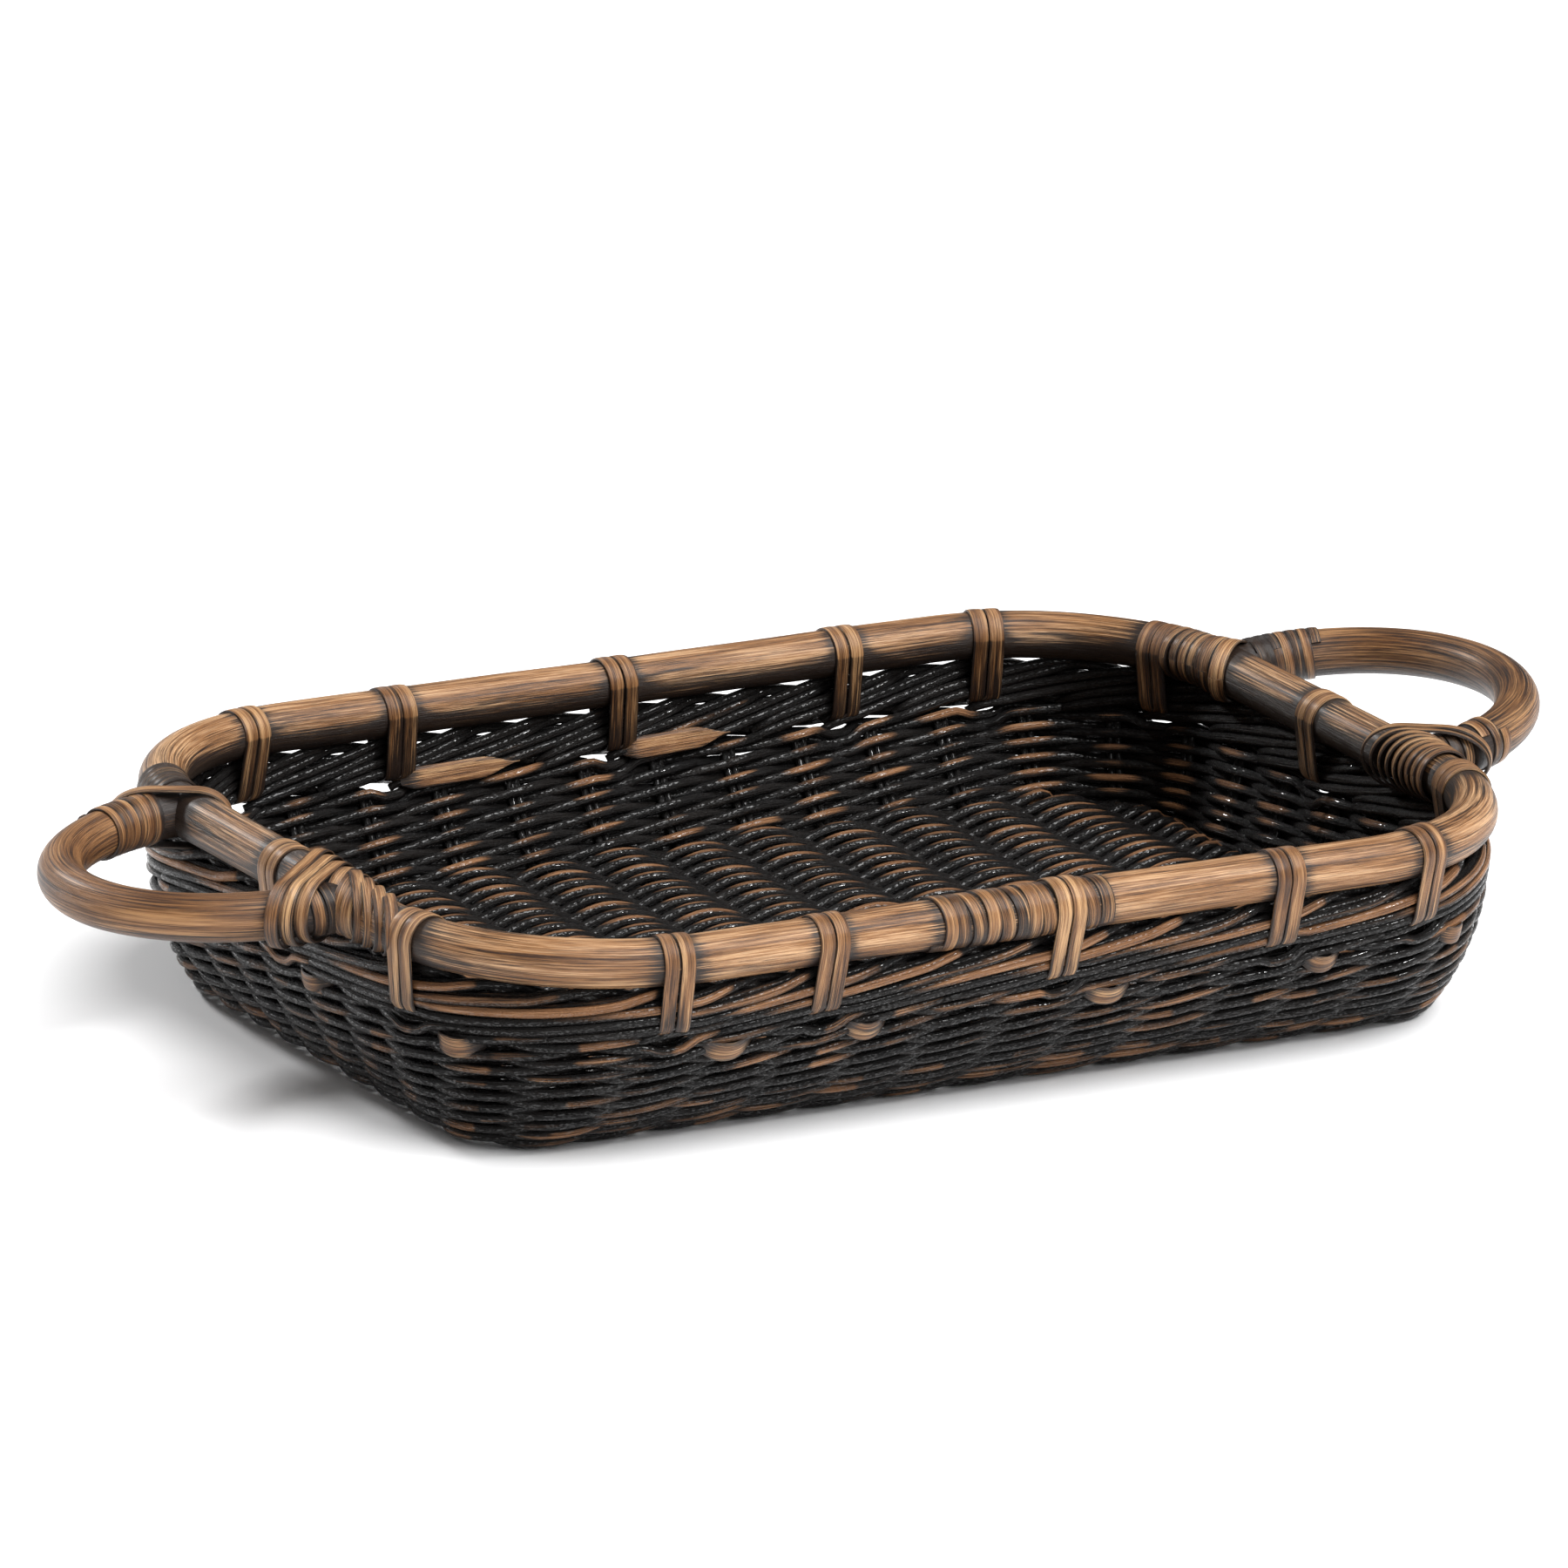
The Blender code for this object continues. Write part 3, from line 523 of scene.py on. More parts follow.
def build_wall():
    """Rounds of three-rod wale: each weaver passes outside two stake pairs and inside one, so two
    lie one above the other outside every pair. Going round three times brings a round's rod back
    to its start, which makes the three weavers."""
    low, high = profile_at_height(FOOT_Z), profile_at_height(WALL_TOP)
    rows = int(round((high - low) / WALL_ROW))
    count = 3 * COLUMNS
    column = np.arange(0, count, 1 / STEPS)
    nearest = np.mod(np.round(column).astype(int), count)
    here = np.mod(column, COLUMNS)
    turn = 2 * np.pi * column / 3
    wave = 0.25 - np.cos(turn) - 0.15 * np.cos(2 * turn)
    outside = (wave > 0)[:, None]
    bell = np.abs(np.cos(np.pi * column))
    bundle = Bundle()
    for row in range(rows + 1):
        s = low + (high - low) * row / rows
        jitter = rng.uniform(-1, 1, (4, count))[:, nearest]
        below = rows - row
        drop = window_drop(here) * (0.0044, 0.0014)[below] if below < 2 else 0.0
        lift = 0.0005 * jitter[3] * bell
        point, normal = wall_point(here, s + lift - drop - CLIMB * np.sin(turn))
        path = point + normal * (SWING * wave * (1 + 0.04 * jitter[0] * bell))[:, None]
        rub = rubbed(np.clip(wave, -1, 1), around(CORE_SIDES), np.where(outside, -0.30, -0.5))
        rub = rub * np.where(outside, 0.60, 0.95) + 0.30 * jitter[1][:, None]
        section = round_section(WEAVER_R) * (1 + 0.05 * jitter[2] * bell)[:, None, None]
        bundle.sweep(path, normal, section, closed=True, rub=rub)
    bundle.build("wall_weavers", CORE, "weave", "side_weave")


def floor_height(x, y):
    """The floor's middle surface sags a little from its edge to its middle."""
    x, y = np.broadcast_arrays(x, y)
    half_x, half_y, _ = ring_sizes(FLOOR_EDGE, FLOOR_IN)
    near = np.stack([1 - (half_x - np.abs(x)) / FLOOR_RUN, 1 - (half_y - np.abs(y)) / FLOOR_RUN])
    share = np.clip(np.log(np.exp(9 * near).sum(0)) / 9, 0.0, 1.0)
    return FLOOR_EDGE - FLOOR_SAG * (1 - share ** 2)


def floor_reach(y):
    """How far a floor row at y runs before it dives under the wall's rows."""
    half_x, half_y, radius = ring_sizes(FLOOR_EDGE, FLOOR_DIVE)
    past = np.maximum(np.abs(y) - (half_y - radius), 0)
    return half_x - radius + math.sqrt(max(radius ** 2 - past ** 2, 0))


def build_floor():
    """Straight rows along the floor, over and under the stakes that cross it."""
    bundle = Bundle()
    last = int((ring_sizes(FLOOR_EDGE, FLOOR_IN)[1]) / FLOOR_ROW)
    for row in range(-last, last + 1):
        y = row * FLOOR_ROW
        reach = floor_reach(y)
        x = np.linspace(-reach, reach, int(reach / 0.0018))
        wave = np.cos(np.pi * ((x - STAKE_SHIFT) / PITCH + row))
        place = (x - STAKE_SHIFT) / PITCH + 8
        nearest = np.round(place).astype(int)
        jitter = rng.uniform(-1, 1, (5, 18))[:, nearest]
        bell = np.cos(np.pi * (place - nearest))
        end = ease(reach - 0.010, reach, np.abs(x))
        swing = SWING * wave * (1 + 0.05 * jitter[1] * bell)
        height = floor_height(x, y) + swing * (1 - end) - 0.0030 * end
        path = np.column_stack([x, y + 0.0006 * jitter[0] * bell, height])
        rub = rubbed(wave, around(CORE_SIDES), -0.55) + 0.25 * jitter[2][:, None] + 0.12
        section = round_section(WEAVER_R, wide=FLOOR_WIDE) * (1 + 0.05 * jitter[3] * bell)[:, None, None]
        bundle.sweep(path, np.array([0, 0, 1.0]), section, rub=rub)
    bundle.build("floor_weavers", CORE, "weave", "base_weave")


def stake_cores(points, across):
    """The two cores of a stake pair, side by side."""
    for lane in (-1, 1):
        yield points + across * (lane * STAKE_R * 1.02)


def build_stakes():
    """Pairs of round core. Long-side pairs run up the front, under the floor and up the back;
    end and corner pairs start in the floor and fan out."""
    bundle = Bundle()
    foot, top = profile_at_height(FLOOR_EDGE), profile_at_height(WALL_TOP)
    up = np.linspace(foot, top, 26)
    quarter = COLUMNS // 4
    for k in range(-LONG_PART, LONG_PART + 1):
        back, out_back = wall_point(np.full(len(up), quarter - k), up)
        front, out_front = wall_point(np.full(len(up), 3 * quarter + k), up)
        y = np.linspace(front[0, 1], back[0, 1], 40)[1:-1]
        x = np.full(len(y), k * PITCH + STAKE_SHIFT)
        floor = np.column_stack([x, y, floor_height(x, y)])
        points = np.concatenate([front[::-1], floor, back])
        normal = np.concatenate([out_front[::-1], np.tile([0, 0, -1.0], (len(y), 1)), out_back])
        for core in stake_cores(points, np.array([1.0, 0, 0])):
            bundle.sweep(core, normal, round_section(STAKE_R), rub=0.25)
    part = quarter - LONG_PART - 1
    for column in [*range(-part, part + 1), *range(2 * quarter - part, 2 * quarter + part + 1)]:
        wall, normal = wall_point(np.full(len(up), float(column)), up)
        across = unit(np.cross(normal, np.gradient(wall, axis=0)))
        inward = unit(np.array([-wall[0, 0], -wall[0, 1], 0]) * np.array([1, 0.6, 0]))
        root = wall[0] + inward * np.linspace(0.030, 0.003, 6)[:, None]
        root[:, 2] = floor_height(root[:, 0], root[:, 1]) - 0.001
        points = np.concatenate([root, wall])
        normal = np.concatenate([np.repeat(normal[:1], 6, 0), normal])
        across = np.concatenate([np.repeat(across[:1], 6, 0), across])
        for core in stake_cores(points, across):
            bundle.sweep(core, normal, round_section(STAKE_R), rub=0.25)
    nodes = [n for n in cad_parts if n.startswith("stake_")]
    bundle.build("stake_cores", CORE, "stake", *nodes)


# A border strand: columns run since its stake, the pair's height, its offset from the wall's
# middle, and how far the pair has turned from side by side (0) to one above the other (1)
BORDER_KEYS = np.array([
    (0.00, 0.0580, 0.0000, 0.0), (0.06, 0.0645, 0.0016, 0.1), (0.25, 0.0685, 0.0046, 0.0),
    (0.80, 0.0712, 0.0053, 0.0), (1.60, 0.0750, 0.0053, 0.0), (2.40, 0.0788, 0.0053, 0.0),
    (3.20, 0.0826, 0.0053, 0.0), (3.80, 0.0860, 0.0050, 0.0), (4.15, 0.0890, 0.0036, 0.2),
    (4.45, 0.0905, 0.0004, 0.4), (4.75, 0.0885, -0.0036, 0.8), (5.20, 0.0835, -0.0045, 1.0),
    (5.70, 0.0785, -0.0045, 1.0), (6.20, 0.0738, -0.0044, 1.0), (6.50, 0.0702, -0.0030, 0.8),
    (6.65, 0.0675, 0.0, 0.6)])
STRAND_R = 0.0027


def build_border():
    """Each stake pair turned down to the right outside, one core behind the other, over the top
    under the pole, and down again inside."""
    bundle = Bundle()
    keys = catmull(BORDER_KEYS, np.linspace(0, len(BORDER_KEYS) - 1, 110))
    angle = around(CORE_SIDES)
    for column in range(COLUMNS):
        wobble = rng.uniform(-1, 1, 4)
        for lane in (-1, 1):
            own = rng.uniform(-1, 1, 4)
            run, height, offset, turned = keys.T
            here = column + run
            near = window_drop(here)
            height = height + 0.0010 * near * (height < 0.077) + 0.0005 * np.sin(run * 2.2 + wobble[0] * 3)
            height = height - lane * 0.00275 * turned
            outside = ease(0.15, 0.6, run) * ease(4.6, 4.2, run)
            if lane > 0:
                offset = offset - 0.0034 * outside
                height = height + 0.0012 * outside
            point, normal = wall_point(here, profile_at_height(height))
            along = unit(np.gradient(point, axis=0))
            path = point + normal * (offset * (1 + 0.06 * own[0]))[:, None]
            path += along * (lane * STAKE_R * (1 - turned) * (1 - outside))[:, None]
            outward = np.sign(offset + 1e-9)[:, None] * np.cos(angle)[None]
            rub = 0.80 * np.clip(outward * 0.8 - 0.35 * np.sin(angle)[None] + 0.25, 0, 1.1)
            rub = rub * ease(0.001, 0.004, np.abs(offset))[:, None]
            upper = 0.62 * ease(1.2, 2.8, run) - 0.48
            rub = rub + 0.34 * own[1] + (outside * upper - 0.60 * (1 - outside))[:, None]
            grow = ease(0.0, 0.5, run)[:, None, None] * ease(6.65, 6.35, run)[:, None, None]
            size = (STAKE_R + (STRAND_R - STAKE_R) * grow) * (1 + 0.05 * own[2])
            bundle.sweep(path, normal, round_section(1.0) * size, rub=rub)
    bundle.build("border_strands", CORE, "weave", "border_weave")


# ---------------------------------------------------------------- poles
def near_bands(distance, places, length=None):
    """Darkening beside each binding on a pole: 1 at its edge, fading in a few mm."""
    total = np.zeros(len(distance))
    for at, half in places:
        gap = np.abs(round_gap(distance, at, length) if length else distance - at)
        total = np.maximum(total, np.exp(-np.maximum(gap - half, 0) / 0.0055))
    return total


def build_rim():
    """The bent pole, darker beside its bindings and at the short ends, with painted shade underneath and on
    its inner lower side.
    """
    distance = np.arange(0, RIM_LENGTH, 0.0035)
    point, normal = rim_point(distance)
    angle = around(POLE_SIDES)
    swell = (1 + 0.018 * np.sin(distance * 9.0 + 1.0) + 0.012 * np.sin(distance * 23.0)
             + 0.008 * np.sin(distance * 61.0))
    places = [(d, BAND_PITCH + 0.001) for d in STRAP_AT] + [(SPLICE_AT, SPLICE_HALF)]
    for side, where in ENDS:
        places.append((rim_distance(f"handle_lashing_{side}_{where}"), LASH_HALF))
    shade = 0.62 * near_bands(distance, places, RIM_LENGTH)[:, None]
    down = np.cos(angle)[None]          # 1 on top, -1 below
    inner = -0.65 * down - 0.75 * np.sin(angle)[None]
    # Painted shade: darker underneath, and darker still along the inner lower side
    shade = shade + 0.26 * ease(0.15, -0.95, down) + 0.62 * ease(0.25, 0.95, inner)
    shade = shade + 0.34 * ease(0.35, 0.95, np.abs(normal[:, :1]))
    section = round_section(POLE_R, POLE_SIDES) * swell[:, None, None]
    bundle = Bundle()
    bundle.sweep(point, np.array([0, 0, 1.0]), section, closed=True, tone=0.55, shade=shade)
    bundle.build("rim_pole_bent", POLE, "pole", "rim_pole")


def handle_point(side, t):
    """Centreline of a loop handle at quarter-turn angles t, from front (-1) to back (1)."""
    sign = -1 if side == "left" else 1
    angle = math.pi / 2 * np.asarray(t, float)
    share = np.cos(angle)
    x = RIM_X + HANDLE_OUT + (HANDLE_REACH[side] - HANDLE_OUT) * share
    y = HANDLE_Y[side] + HANDLE_HALF[side] * np.sin(angle)
    return np.column_stack([sign * x, y, RIM_Z + HANDLE_RISE[side] * share])


def build_handles():
    for side, sign, stain in (("left", -1, 0.16), ("right", 1, 0.34)):
        arc = handle_point(side, np.linspace(-1, 1, 121))
        lead = np.linspace(0.012, 0.001, 5)[:, None] * np.array([-sign, 0, 0])
        path = np.concatenate([arc[0] + lead, arc, (arc[-1] + lead)[::-1]])
        distance = np.concatenate([[0], np.cumsum(np.linalg.norm(np.diff(path, axis=0), axis=1))])
        swell = 1 + 0.015 * np.sin(distance * 21.0 + 1 + sign) + 0.010 * np.sin(distance * 47.0)
        total = distance[-1]
        ends = near_bands(distance, [(0.022, LASH_HALF), (total - 0.022, LASH_HALF)])
        # Darker beside the lashings, with painted shade underneath
        shade = 0.60 * ends[:, None] + 0.34 * ease(0.1, -0.95, np.cos(around(POLE_SIDES)))[None]
        section = round_section(HANDLE_R, POLE_SIDES) * swell[:, None, None]
        bundle = Bundle()
        bundle.sweep(path, np.array([0, 0, 1.0]), section, tone=0.45, shade=shade + stain)
        bundle.build(f"handle_loop_{side}", HANDLE, "pole", f"handle_{side}")


# ---------------------------------------------------------------- peel
def hull(points):
    """Convex hull of flat points, anticlockwise."""
    points = points[np.lexsort((points[:, 1], points[:, 0]))]

    def half(order):
        chain = []
        for p in order:
            while len(chain) > 1:
                u, v = chain[-1] - chain[-2], p - chain[-1]
                if u[0] * v[1] - u[1] * v[0] > 0:
                    break
                chain.pop()
            chain.append(p)
        return chain[:-1]

    return np.array(half(points) + half(points[::-1]))


def taut_loop(points, count=96, soften=3):
    """A strip pulled tight round flat points: evenly spaced places round their hull, softly bent,
    with outward normals."""
    corner = hull(points)
    closed = np.concatenate([corner, corner[:1]])
    length = np.concatenate([[0], np.cumsum(np.linalg.norm(np.diff(closed, axis=0), axis=1))])
    at = np.linspace(0, length[-1], count, endpoint=False)
    path = np.column_stack([np.interp(at, length, closed[:, j]) for j in range(2)])
    for _ in range(soften):
        path = (np.roll(path, 1, 0) + 2 * path + np.roll(path, -1, 0)) / 4
    run = np.roll(path, -1, 0) - np.roll(path, 1, 0)
    return path, unit(np.column_stack([run[:, 1], -run[:, 0]]))


def circle(middle, radius, count=48):
    a = 2 * np.pi * np.arange(count) / count
    return np.column_stack([middle[0] + radius * np.cos(a), middle[1] + radius * np.sin(a)])


def band_shade(count, extra, edge=0.55):
    """Darkening along a strip's edges, over what its whole width has."""
    return edge * BAND_EDGE[None] ** 1.5 + np.broadcast_to(extra, (count,))[:, None]


def add_tail(bundle, here, level, offset, facing, taper, fade):
    """A thin tapering strip lying along the wall."""
    point, face = wall_point(here, profile_at_height(level))
    path = point + face * offset[:, None]
    section = np.stack([band_section(max(w, 0.0006), PEEL_T * 0.8) for w in taper])
    bundle.sweep(path, face * facing, section, tone=0.5, shade=band_shade(len(path), fade + 0.08, 0.4))


TAIL_PROUD = SWING + WEAVER_R + 0.0003      # tails lie on the weavers
TAIL_SHARE = np.linspace(0, 1, 34)
INNER_TAILS = (6, 7)                        # the two back straps whose inner tails are left long


def inner_tail(bundle, column):
    """A long pointed tail inside."""
    u = TAIL_SHARE
    length, wide = 0.066 * (1 + 0.08 * rng.uniform(-1, 1)), 0.0112
    here = column - (0.003 + u * length) / PITCH
    offset = -(TAIL_PROUD - 0.004 * (1 - ease(0.0, 0.10, u)))
    taper = wide * ease(-0.10, 0.10, u) * (1 - 0.95 * ease(0.62, 1.0, u) ** 1.3)
    fade = 0.55 * (1 - ease(0.0, 0.20, u)) + 0.35 * ease(0.75, 1.0, u)
    add_tail(bundle, here, 0.0695 + 0.0020 * u, offset, -1, taper, fade)


def outer_tail(bundle, column):
    """A short leaf outside, between the border and the top round."""
    u = TAIL_SHARE
    length = 0.031 * (1 + 0.20 * rng.uniform(-1, 1))
    wide = 0.0108 * (1 + 0.12 * rng.uniform(-1, 1))
    here = column + (0.012 + 0.006 * rng.uniform() + u * length) / PITCH
    level = 0.0612 - 0.0020 * np.sin(np.pi * u)
    offset = -0.002 + (TAIL_PROUD + 0.003) * np.sin(np.pi * np.clip(u, 0.02, 0.98)) ** 0.55
    taper = wide * (0.25 + 0.75 * np.sin(np.pi * u) ** 0.7)
    fade = 0.20 + 0.65 * (1 - ease(0.05, 0.35, u)) + 0.65 * ease(0.60, 0.95, u)
    add_tail(bundle, here, level, offset, 1, taper, fade)


def build_strap(number):
    """One strip of peel wound twice round pole and border, with a short tail outside and, on
    two, a long one inside."""
    (middle,), (normal,) = rim_point(np.array([STRAP_AT[number]]))
    along = np.cross(np.array([0, 0, 1.0]), normal)
    column = STRAP_COLUMNS[number]
    over_splice = middle[1] < 0 and abs(middle[0] - SPLICE_MIDDLE) < SPLICE_HALF
    pole_r = POLE_R * STRAP_SNUG + (PEEL_T if over_splice else 0.0)
    foot = []
    for height, half in ((0.0688, 0.0050), (0.0735, 0.0080), (0.080, 0.0080)):
        (at,), _ = wall_point(np.array([column]), profile_at_height(np.array([height])))
        offset = (at - middle) @ normal
        foot += [(offset - half, height + 0.0045), (offset + half, height)]
    loop, out = taut_loop(np.concatenate([circle((0, RIM_Z), pole_r), np.array(foot)]), 110)
    # start under the border: the lowest point first
    start = int(np.argmin(loop[:, 1]))
    loop, out = np.roll(loop, -start, 0), np.roll(out, -start, 0)
    width = BAND * (1 + 0.06 * rng.uniform(-1, 1))
    count = len(loop)
    index = np.arange(2 * count + 1) % count
    share = np.arange(2 * count + 1) / count
    shift = (np.floor(share) - 0.5) + ease(0.9, 1.0, share % 1)
    shift = np.clip(shift, -0.5, 0.5) * BAND_PITCH
    lean = 0.0009 * rng.uniform(-1, 1)
    across, height = loop[index].T
    shift = shift + lean * (height - RIM_Z) / 0.02
    path = middle * np.array([1, 1, 0]) + normal * across[:, None] + along * shift[:, None]
    path[:, 2] = height
    up = normal * out[index, :1]
    up[:, 2] = out[index, 1]
    # Painted shade: darker where the strip goes down under the pole and on its inner part
    inside = ease(0.0, -0.010, across + 0.004) * (height < RIM_Z)
    dark = 0.42 * ease(RIM_Z - 0.006, RIM_Z - 0.034, height) + 0.45 * inside
    bundle = Bundle()
    bundle.sweep(path, up, band_section(width, PEEL_T), shade=band_shade(len(path), dark))
    if number in INNER_TAILS:
        inner_tail(bundle, column)
    outer_tail(bundle, column)
    bundle.build(f"strap_{number + 1:02d}", PEEL, "peel", STRAP_NODES[number], sharp=50)


def build_splice():
    """A dozen side-by-side turns over the scarf, none quite square."""
    pitch = 2 * SPLICE_HALF / SPLICE_TURNS
    per = 40
    theta = np.arange(SPLICE_TURNS * per + 1) / per * 2 * np.pi
    turn = theta / (2 * np.pi)
    offset = np.cumsum(np.concatenate([[0], rng.uniform(0.9, 1.1, SPLICE_TURNS)]))
    offset = (offset / offset[-1] - 0.5) * 2 * SPLICE_HALF * 0.985
    x = SPLICE_MIDDLE + np.interp(turn, np.arange(SPLICE_TURNS + 1), offset)
    x = x + 0.0007 * np.sin(theta * 1.37 + 1)
    radial = np.column_stack([np.zeros(len(theta)), -np.sin(theta + 2.2), np.cos(theta + 2.2)])
    axis = np.column_stack([x, np.full(len(theta), -RIM_Y), np.full(len(theta), RIM_Z)])
    radius = POLE_R * SNUG + 0.0003 * np.sin(turn * 2.1)
    # Turns vary a little in tone, with painted shade underneath
    dark = 0.25 + 0.20 * np.sin(turn * 4.4 + 0.6) + 0.30 * ease(0.1, -0.9, radial[:, 2])
    bundle = Bundle()
    bundle.sweep(axis + radial * radius[:, None], radial, band_section(pitch * 0.985, PEEL_T),
                 shade=band_shade(len(theta), dark, 0.62))
    bundle.build("splice_turns", PEEL, "peel", "rim_splice_binding", sharp=50)


def handle_wraps(bundle, side, where, first, last, turns, dark):
    """Side-by-side turns round a handle between two angles of its loop."""
    end = -1 if where == "front" else 1
    per = 36
    count = turns * per + 1
    turn = np.arange(count) / per
    axis = handle_point(side, end * np.linspace(first, last, count))
    run = unit(np.gradient(axis, axis=0))
    flat = unit(np.cross(run, np.array([0, 0, 1.0])))
    rise = np.cross(flat, run)
    theta = turn * 2 * np.pi * end * (1 if side == "left" else -1) + 0.7
    radial = flat * np.cos(theta)[:, None] + rise * np.sin(theta)[:, None]
    length = np.linalg.norm(np.diff(axis, axis=0), axis=1).sum()
    # Turns vary a little in tone, with painted shade underneath
    shade = dark + 0.20 * np.sin(turn * 3.3 + end) + 0.32 * ease(0.0, -0.95, radial[:, 2])
    bundle.sweep(axis + radial * HANDLE_R * SNUG, radial, band_section(length / turns * 0.97, PEEL_T),
                 shade=band_shade(count, shade, 0.6))


def crossing(path, place, ahead):
    """Where a centreline crosses an upright plane through place that runs along ahead: the
    distance along the plane, and the share of the pole's radius it is seen across."""
    flat = path[:, :2] - place
    off = flat[:, 0] * -ahead[1] + flat[:, 1] * ahead[0]
    found = np.flatnonzero(np.sign(off[:-1]) != np.sign(off[1:]))
    if not len(found):
        return None
    i = found[np.argmin(np.abs((flat @ ahead)[found]))]
    share = off[i] / (off[i] - off[i + 1])
    run = unit(path[i + 1, :2] - path[i, :2])
    at = path[i] + share * (path[i + 1] - path[i])
    return (at[:2] - place) @ ahead, at[2], abs(run[0] * -ahead[1] + run[1] * ahead[0])


def lash_turn(bundle, side, where, lean, offset, lift, width, dark):
    """A turn of peel pulled tight in an upright plane round the rim pole and, if it meets it, the
    handle end. The plane leans lean degrees from the handle towards the corner, and passes offset
    from the joint on the corner's side."""
    sign, end = (-1 if side == "left" else 1), (-1 if where == "front" else 1)
    joint = np.array([sign * RIM_X, HANDLE_Y[side] + end * HANDLE_HALF[side]])
    c, s = math.cos(math.radians(lean)), math.sin(math.radians(lean))
    ahead = np.array([sign * c, end * s])
    place = joint + offset * np.array([-sign * s, end * c])
    near = RIM_SAMPLES[np.argmin(((RIM_POINTS[:, :2] - joint) ** 2).sum(1))]
    rim = rim_point(near + np.linspace(-0.09, 0.09, 121))[0]
    arm = handle_point(side, np.linspace(end, end * 0.35, 121))
    shapes = []
    for path, radius in ((rim, POLE_R * SNUG), (arm, HANDLE_R * SNUG)):
        met = crossing(path, place, ahead)
        if met:
            a = 2 * np.pi * np.arange(72) / 72
            r = radius + lift
            ring = np.column_stack([met[0] + r / max(met[2], 0.55) * np.cos(a), met[1] + r * np.sin(a)])
            outside = (ring[:, :1] * ahead[None, :1] + place[0] - sign * RIM_X)[:, 0] * sign
            shapes.append(ring if path is rim else ring[outside > 0.0])
    loop, out = taut_loop(np.concatenate(shapes), 128, 4)
    path = np.column_stack([place + ahead * loop[:, :1], loop[:, 1]])
    up = np.column_stack([ahead * out[:, :1], out[:, 1]])
    # Painted shade: darker below the pole
    shade = dark + 0.35 * ease(RIM_Z + 0.004, RIM_Z - 0.012, loop[:, 1])
    bundle.sweep(path, up, band_section(width, PEEL_T), closed=True,
                 shade=band_shade(len(path), shade, 0.62))


def lash_row(bundle, side, where, turns, lean, offset, lift, width, dark):
    """Turns side by side. lean, offset and lift are each a first value and a step; dark is a first
    value and what every other turn has more."""
    for k in turns:
        lash_turn(bundle, side, where, lean[0] + lean[1] * k, offset[0] + offset[1] * k,
                  lift[0] + lift[1] * k, width, dark[0] + dark[1] * (k % 2))


def lash_left_front(bundle, ring, *end):
    """Turns that lean both ways, over a dark wrap on the handle. The outermost is its binding."""
    handle_wraps(bundle, *end, 0.995, 0.90, 2, 0.45)
    lash_row(bundle, *end, range(4), (66, 0), (0.0160, -0.0046), (0.0006, 0.0008), 0.0074, (0.12, 0))
    for into, turns in ((ring, range(1)), (bundle, range(1, 6))):
        lash_row(into, *end, turns, (42, -1), (-0.0265, 0.0070), (0.0038, -0.0005), 0.0074, (0.10, 0.10))


def lash_left_back(bundle, ring, *end):
    """Dark turns on the pole, one pale strip over the joint, and a binding on the handle."""
    lash_row(bundle, *end, range(5), (4, 3), (0.0150, 0.0058), (0.0002, 0), 0.0060, (0.62, 0))
    lash_turn(bundle, *end, 33, -0.0100, 0.0018, 0.0100, 0.10)
    handle_wraps(ring, *end, 0.925, 0.69, 6, 0.15)


def lash_right_front(bundle, ring, *end):
    """A fan of turns over the joint."""
    handle_wraps(bundle, *end, 0.99, 0.86, 3, 0.55)
    lash_row(bundle, *end, range(9), (38, -4), (-0.0110, 0.0046), (0.0034, -0.0003), 0.0064, (0.14, 0.12))
    handle_wraps(ring, *end, 0.82, 0.73, 2, 0.20)


def lash_right_back(bundle, ring, *end):
    """Turns on the pole, two strips over the joint, and black and brown wraps on the handle."""
    lash_row(bundle, *end, range(5), (6, 4), (0.0330, -0.0060), (0.0002, 0), 0.0062, (0.20, 0.12))
    lash_turn(bundle, *end, 28, 0.0050, 0.0014, 0.0070, 0.25)
    lash_turn(bundle, *end, 36, -0.0040, 0.0026, 0.0090, 0.08)
    handle_wraps(bundle, *end, 0.985, 0.88, 3, 0.85)
    handle_wraps(ring, *end, 0.88, 0.72, 4, 0.30)


def build_lashings():
    """Each handle end is tied on in its own way, as the maker's hand went."""
    for end, lash in zip(ENDS, (lash_left_front, lash_left_back, lash_right_front, lash_right_back)):
        bundle, ring = Bundle(), Bundle()
        lash(bundle, ring, *end)
        place = "_".join(end)
        bundle.build(f"lashing_{place}", PEEL, "peel", f"handle_lashing_{place}", sharp=50)
        ring.build(f"binding_{place}", PEEL, "peel", f"handle_binding_{place}", sharp=50)


# ---------------------------------------------------------------- stage
SUNS = (("key", (0.30, -0.44, 1.0), 4.05, 50), ("front", (-0.10, -0.95, 0.42), 0.75, 50))
LAMPS = (("glint", (-0.9, 2.2, 1.7), 0.35, 40.0), ("spark", (1.5, -1.9, 1.9), 0.25, 20.0))


def add_light(name, kind, place):
    """A light that shines from place towards the middle."""
    data = bpy.data.lights.new(name, kind)
    light = bpy.data.objects.new(name, data)
    light.location = place
    light.rotation_euler = Vector(place).to_track_quat("Z", "Y").to_euler()
    bpy.context.scene.collection.objects.link(light)
    return data


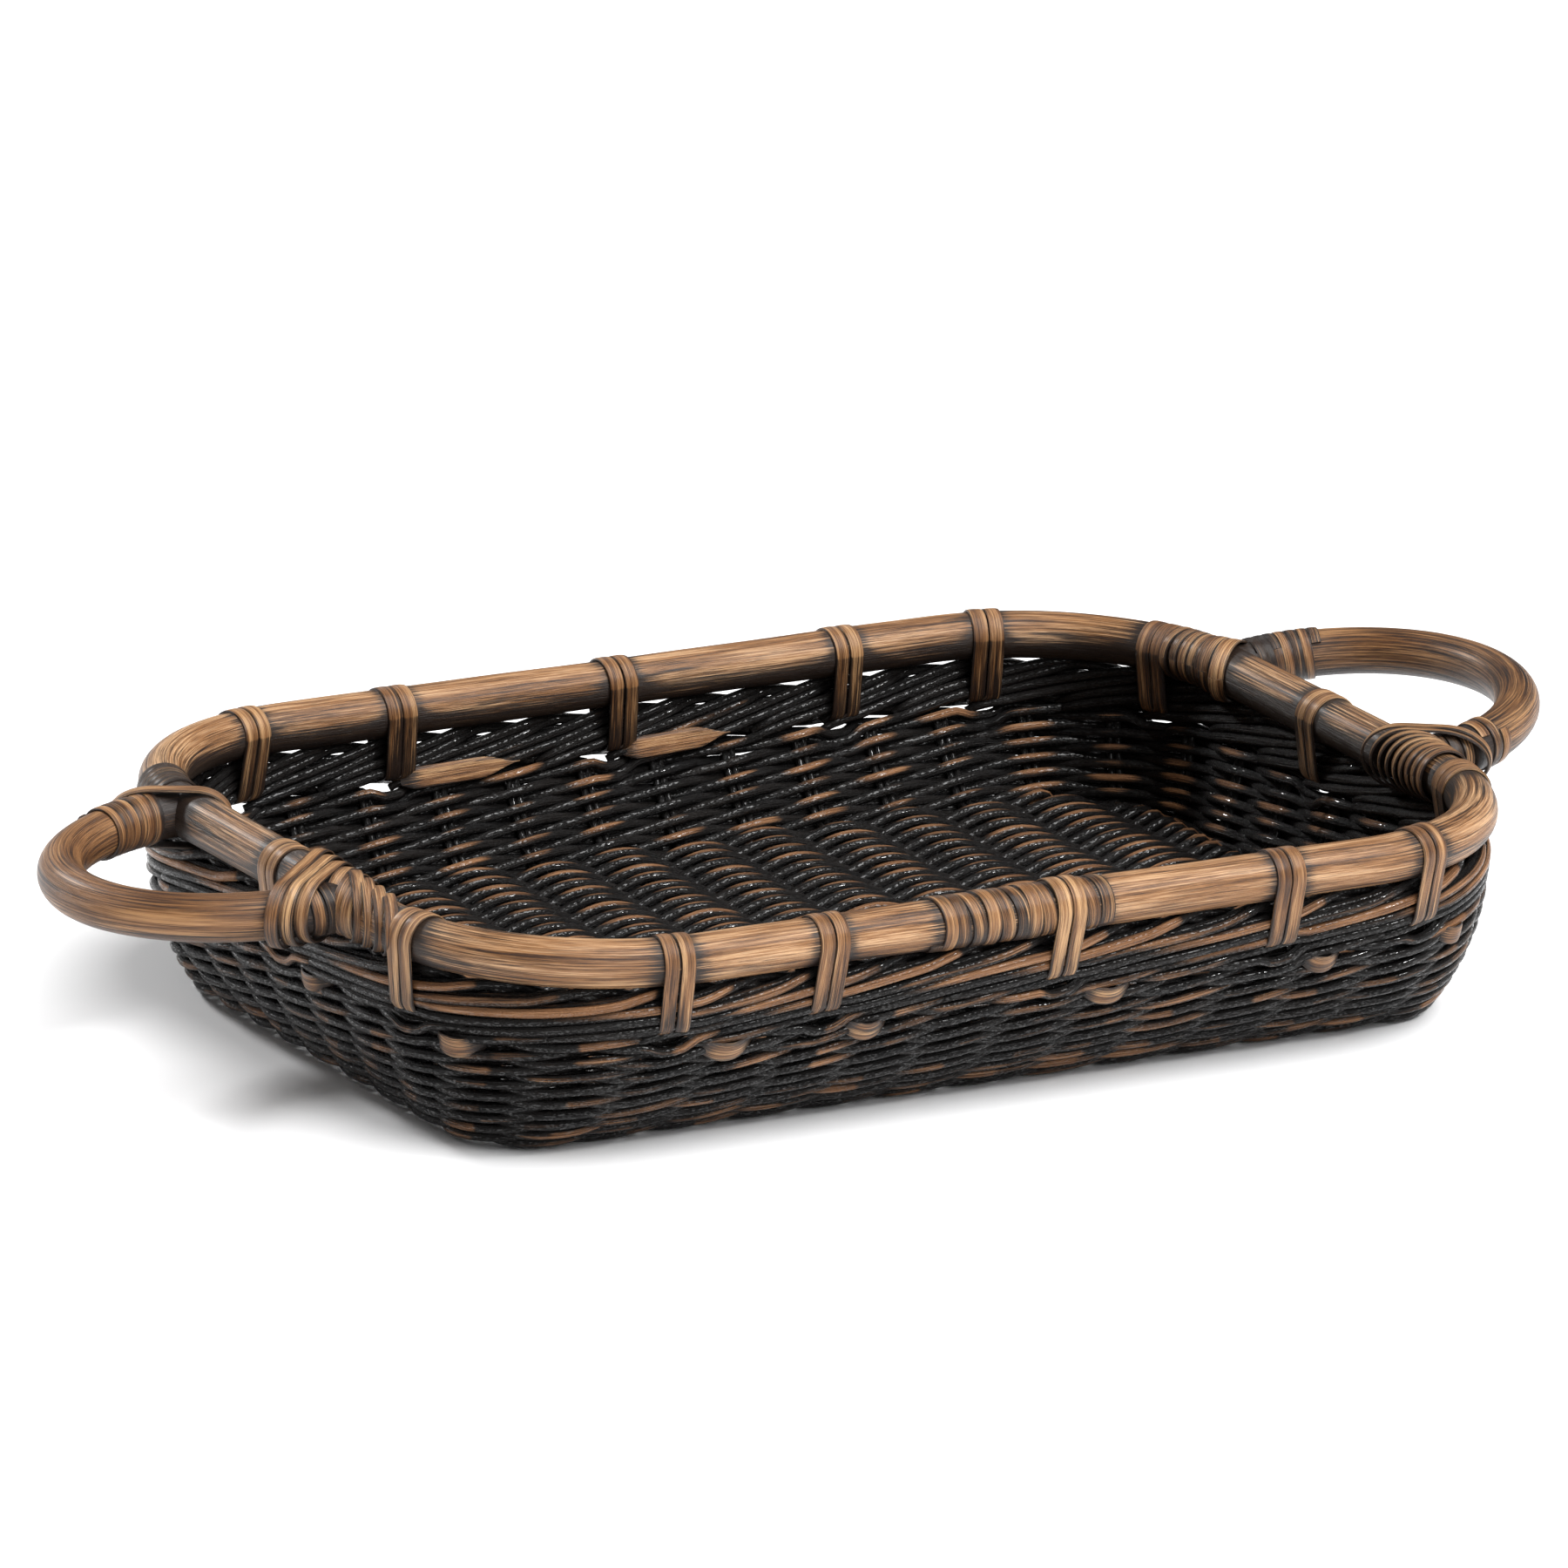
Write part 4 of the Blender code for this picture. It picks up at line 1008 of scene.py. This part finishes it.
def build_stage():
    mesh = bpy.data.meshes.new("floor")
    size = 9.0
    mesh.from_pydata([(-size, -size, 0), (size, -size, 0), (size, size, 0), (-size, size, 0)], [],
                     [(0, 1, 2, 3)])
    floor = bpy.data.objects.new("floor", mesh)
    floor.location.z = -0.0012
    bpy.context.scene.collection.objects.link(floor)
    n = Nodes("pale_floor")
    n.put(Base_Color=(0.96, 0.96, 0.965), Roughness=0.85, Specular_IOR_Level=0.2)
    mesh.materials.append(n.material)
    world = bpy.data.worlds.new("studio")
    bpy.context.scene.world = world
    world.use_nodes = True
    sky = world.node_tree.nodes["Background"]
    sky.inputs["Color"].default_value = (1.0, 1.0, 1.0, 1.0)
    sky.inputs["Strength"].default_value = 0.13
    for name, place, power, spread in SUNS:
        data = add_light(name, "SUN", place)
        data.energy, data.angle = power, math.radians(spread)
    for name, place, size, power in LAMPS:
        data = add_light(name, "AREA", place)
        data.shape, data.size, data.energy = "SQUARE", size, power
    bpy.context.scene.view_settings.view_transform = "Standard"


def build_camera():
    """A long lens, looking down a little at the front-left corner, and a touch rolled."""
    target, distance = Vector((CENTRE[0] - 0.0074, CENTRE[1] + 0.0227, RIM_Z)), 9.582
    azimuth, elevation, roll = (math.radians(a) for a in (-30.37, 16.709, 1.66))
    back = Vector((math.sin(azimuth) * math.cos(elevation), -math.cos(azimuth) * math.cos(elevation),
                   math.sin(elevation)))
    right = Vector((math.cos(azimuth), math.sin(azimuth), 0))
    up = back.cross(right)
    x = right * math.cos(roll) + up * math.sin(roll)
    y = up * math.cos(roll) - right * math.sin(roll)
    data = bpy.data.cameras.new("camera")
    data.sensor_width = 36
    data.lens = 431.14
    camera = bpy.data.objects.new("camera", data)
    matrix = Matrix((x, y, back)).transposed().to_4x4()
    matrix.translation = target + back * distance
    camera.matrix_world = matrix
    bpy.context.scene.collection.objects.link(camera)
    bpy.context.scene.camera = camera


build_camera()
build_stage()
build_wall()
build_floor()
build_stakes()
build_border()
build_rim()
build_handles()
for strap in range(len(STRAP_NODES)):
    build_strap(strap)
build_splice()
build_lashings()
nail = steel()
for name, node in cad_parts.items():
    if "nail" in name:
        for slot in node.material_slots:
            slot.material = nail
